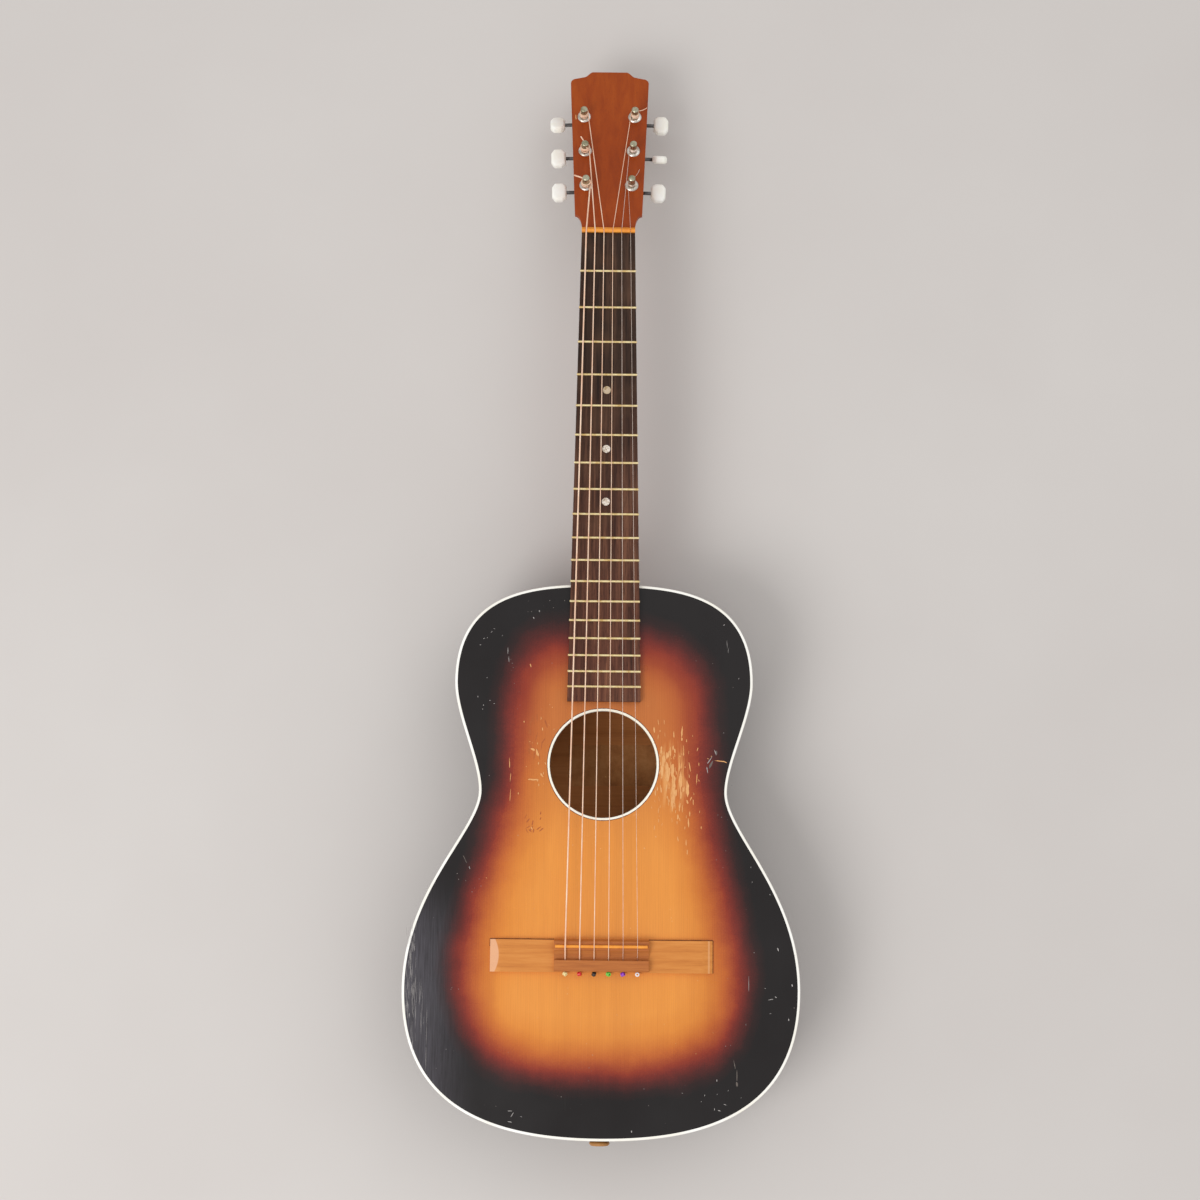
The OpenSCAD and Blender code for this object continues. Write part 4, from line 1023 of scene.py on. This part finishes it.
for n in range(1, 7):
    refined(f"post_{n}", f"string_post_{n}", "post_nickel", 32, 0.12)
    refined(f"gear_{n}", f"brass_gear_{n}", "gear_brass", 30, 0.15)
    refined(f"worm_{n}", f"worm_shaft_{n}", "dark_steel", 32, 0.1)
    refined(f"button_{n}", f"ivory_button_{n}", "button_plastic", 60)

for look, nodes in {
        "string_steel": ["plain_strings"], "bronze": ["wound_strings"],
        "nickel": ["neck_bolt", "neck_washer"], "dark_steel": ["neck_bar"],
        "inside_wood": ["linings", "neck_block", "tail_block", "top_braces", "back_braces", "bridge_plate"],
}.items():
    for node in nodes:
        NODES[node].data.materials.clear()
        NODES[node].data.materials.append(LOOKS[look])


def make_balls():
    """Ball ends, each in its own colour, from the bass side."""
    colours = list(BALL_PAINTS)
    balls = refined("ball_ends", "coloured_balls", colours[0], 35)
    for colour in colours[1:]:
        balls.data.materials.append(LOOKS[colour])
    ball_radius = 2.1
    left, right = low("ball_ends").x + ball_radius, high("ball_ends").x - ball_radius
    last = len(colours) - 1
    for face in balls.data.polygons:
        share = (face.center.x / MM - left) / (right - left)
        face.material_index = min(last, max(0, round(last * share)))


# ---- tuners: string wound on the posts and worm threads ----

JOINTS = {joint["name"]: joint for joint in frame["joints"]}
POST_RADIUS = 3.15
HOLE_HEIGHT = 9.4
# string 1 to 6: radius, where the cut end points on the headstock in degrees, and how far it sticks out
STRING_RADII = [0.15, 0.205, 0.305, 0.405, 0.535, 0.675]
END_ANGLES = [52, 40, 12, 200, 108, 155]
END_LENGTHS = [9, 0.4, 8, 0.4, 6, 8]


def tuner_side(n):
    return -1 if n > 3 else 1


def tuner_axes(n):
    """Foot of post n on the headstock's face, and its x, y and z directions."""
    joint = JOINTS[f"post_spin_{n}"]
    out = Vector(joint["axis"]).normalized()
    spot = Vector(joint["pos_m"]) / MM
    spot -= out * out.dot(spot - Vector((0, NUT_REAR, TOP_Z)))
    across = Vector(JOINTS[f"button_spin_{n}"]["axis"]).normalized() * tuner_side(n)
    return spot, across, out.cross(across), out


def head_chip(name, look, n, u, v, length, width):
    """A chip on the headstock's face, u across and v up from post n."""
    foot, across, along, out = tuner_axes(n)
    points, faces = splinter(u, v, length, width, 0, 0.05)
    spots = [tuple(foot + across * x + along * y + out * z) for x, y, z in points]
    piece(name, spots, faces, look)


def smooth_path(points):
    """A smooth open path through the points."""
    last = len(points) - 1
    path = []
    for k in range(last):
        path += smooth_stretch(points[max(k - 1, 0)], points[k], points[k + 1], points[min(k + 2, last)], 6)
    return path + [points[-1]]


def make_winding(n):
    """String wound up a post in touching turns, then through the post's hole to its cut end."""
    foot, across, along, out = tuner_axes(n)
    r = STRING_RADII[n - 1]

    def spot(angle, radius, height):
        return foot + (across * math.cos(angle) + along * math.sin(angle)) * radius + out * height

    # the lowest turn clears the string's own bend, and the highest leaves room below the hole
    start = 2.75 + 3.12 * r
    pitch = 2.02 * r
    room = HOLE_HEIGHT - 1.2 - r - start
    turns = max(1, min(6, int(room / pitch)))
    leave = math.radians(END_ANGLES[n - 1])
    sense = -tuner_side(n)
    first = leave + math.pi - sense * 2 * math.pi * turns
    path = []
    count = 28 * turns
    for k in range(count + 1):
        part = k / count
        wobble = 0.06 * r * math.sin(7 * part * turns)
        path.append(spot(first + sense * 2 * math.pi * turns * part, POST_RADIUS + r + wobble,
                         start + pitch * turns * part))
    end = END_LENGTHS[n - 1]
    top = HOLE_HEIGHT
    halfway = (start + pitch * turns + top) / 2
    inside = [path[-1], spot(leave + math.pi + sense * 0.25, POST_RADIUS + 1.1 * r, halfway),
              spot(leave + math.pi, POST_RADIUS * 0.7, top), spot(leave, POST_RADIUS * 0.8, top),
              spot(leave, POST_RADIUS + 0.4 * end, top + 0.02 * end),
              spot(leave + 0.06, POST_RADIUS + 0.75 * end, top + 0.08 * end),
              spot(leave + 0.1, POST_RADIUS + end, top + 0.2 * end)]
    points, faces = tube(path[:-1] + smooth_path(inside), r)
    look = "bronze" if n > 2 else "string_steel"
    piece(f"wound_turns_{n}", points, faces, look, f"post_body_{n}", [f"winding_{n}"], sharp=60)


def make_thread(n):
    """The worm's right-hand thread, with a gap opposite the gear tooth that points at it."""
    joint = JOINTS[f"button_spin_{n}"]
    centre = Vector(joint["pos_m"]) / MM
    out = Vector(joint["axis"]).normalized()
    to_gear = Vector(JOINTS[f"post_spin_{n}"]["pos_m"]) / MM - centre
    to_gear = (to_gear - out * out.dot(to_gear)).normalized()
    third = out.cross(to_gear)
    lead, reach = 2.2, 5.0
    core, crest = 1.15, 2.75
    core_half, crest_half = 0.5, 0.22
    turns = 2 * reach / lead
    count = int(turns * 28)
    verts, faces = [], []
    for k in range(count + 1):
        angle = 2 * math.pi * turns * (k / count - 0.5)
        place = lead * (angle / (2 * math.pi) + 0.5)
        fade = min(1, 6 * (1 - abs(2 * k / count - 1)) + 0.15)
        ray = to_gear * math.cos(angle) + third * math.sin(angle)
        place = max(-reach, min(reach, place))
        rise = core + (crest - core) * fade
        for radius, shift in ((core, -core_half), (rise, -crest_half),
                              (rise, crest_half), (core, core_half)):
            verts.append(tuple(centre + ray * radius + out * (place + shift)))
    faces = strips(4, count + 1)
    faces.append((3, 2, 1, 0))
    last = 4 * count
    faces.append((last, last + 1, last + 2, last + 3))
    piece(f"worm_thread_{n}", verts, faces, "dark_steel", f"worm_body_{n}", sharp=30)


make_balls()
head_chip("head_chip_treble", "glue_line", 3, 10.2, 17.5, 2.4, 1.2)
head_chip("head_chip_bass", "bare_chip", 4, -7.6, -0.5, 6, 0.9)
for n in range(1, 7):
    make_winding(n)
    make_thread(n)


# ---- floor, light and camera ----

def make_floor():
    """A plain floor just clear of the guitar's back."""
    bpy.ops.mesh.primitive_grid_add(x_subdivisions=8, y_subdivisions=8, size=14, location=(0, 0, -0.0006))
    floor = bpy.context.object
    floor.name = "floor"
    floor.data.materials.append(LOOKS["floor"])


def soft_lamp(name, place, size, power):
    """A square lamp turned towards the middle of the guitar."""
    data = bpy.data.lights.new(name, "AREA")
    data.shape = "SQUARE"
    data.size = size
    data.energy = power
    lamp = bpy.data.objects.new(name, data)
    lamp.location = place
    lamp.rotation_euler = (-Vector(place)).to_track_quat("-Z", "Y").to_euler()
    bpy.context.scene.collection.objects.link(lamp)


def make_world():
    """Even white light from all sides."""
    world = bpy.data.worlds.new("studio")
    bpy.context.scene.world = world
    world.use_nodes = True
    shade = world.node_tree.nodes["Background"]
    shade.inputs["Color"].default_value = (1, 1, 1, 1)
    shade.inputs["Strength"].default_value = 0.7


def make_camera():
    """A camera over the soundhole's side of the guitar, tipped a little towards the headstock."""
    pitch, yaw, roll = 0.141, -0.0007, 0.0102
    aside, down_strings, above = -2.9, 594.9, 1953.3
    ahead = Vector((math.sin(yaw) * math.cos(pitch), math.sin(pitch), -math.cos(pitch) * math.cos(yaw)))
    right = ahead.cross(Vector((0, 1, 0))).normalized()
    up = right.cross(ahead)
    turned_right = right * math.cos(roll) + up * math.sin(roll)
    turned_up = -right * math.sin(roll) + up * math.cos(roll)
    data = bpy.data.cameras.new("camera")
    data.lens = 64.5
    data.sensor_width = 36
    data.clip_end = 50
    camera = bpy.data.objects.new("camera", data)
    pose = Matrix((turned_right, turned_up, -ahead)).transposed().to_4x4()
    pose.translation = Vector((aside, at(down_strings), above)) * MM
    camera.matrix_world = pose
    bpy.context.scene.collection.objects.link(camera)
    bpy.context.scene.camera = camera


make_floor()
make_world()
soft_lamp("key", (-1.5, -1.4, 2.4), size=1.5, power=36)
soft_lamp("fill", (1.2, 1.2, 2.7), size=2.4, power=10)
make_camera()
bpy.context.scene.view_settings.view_transform = "Standard"
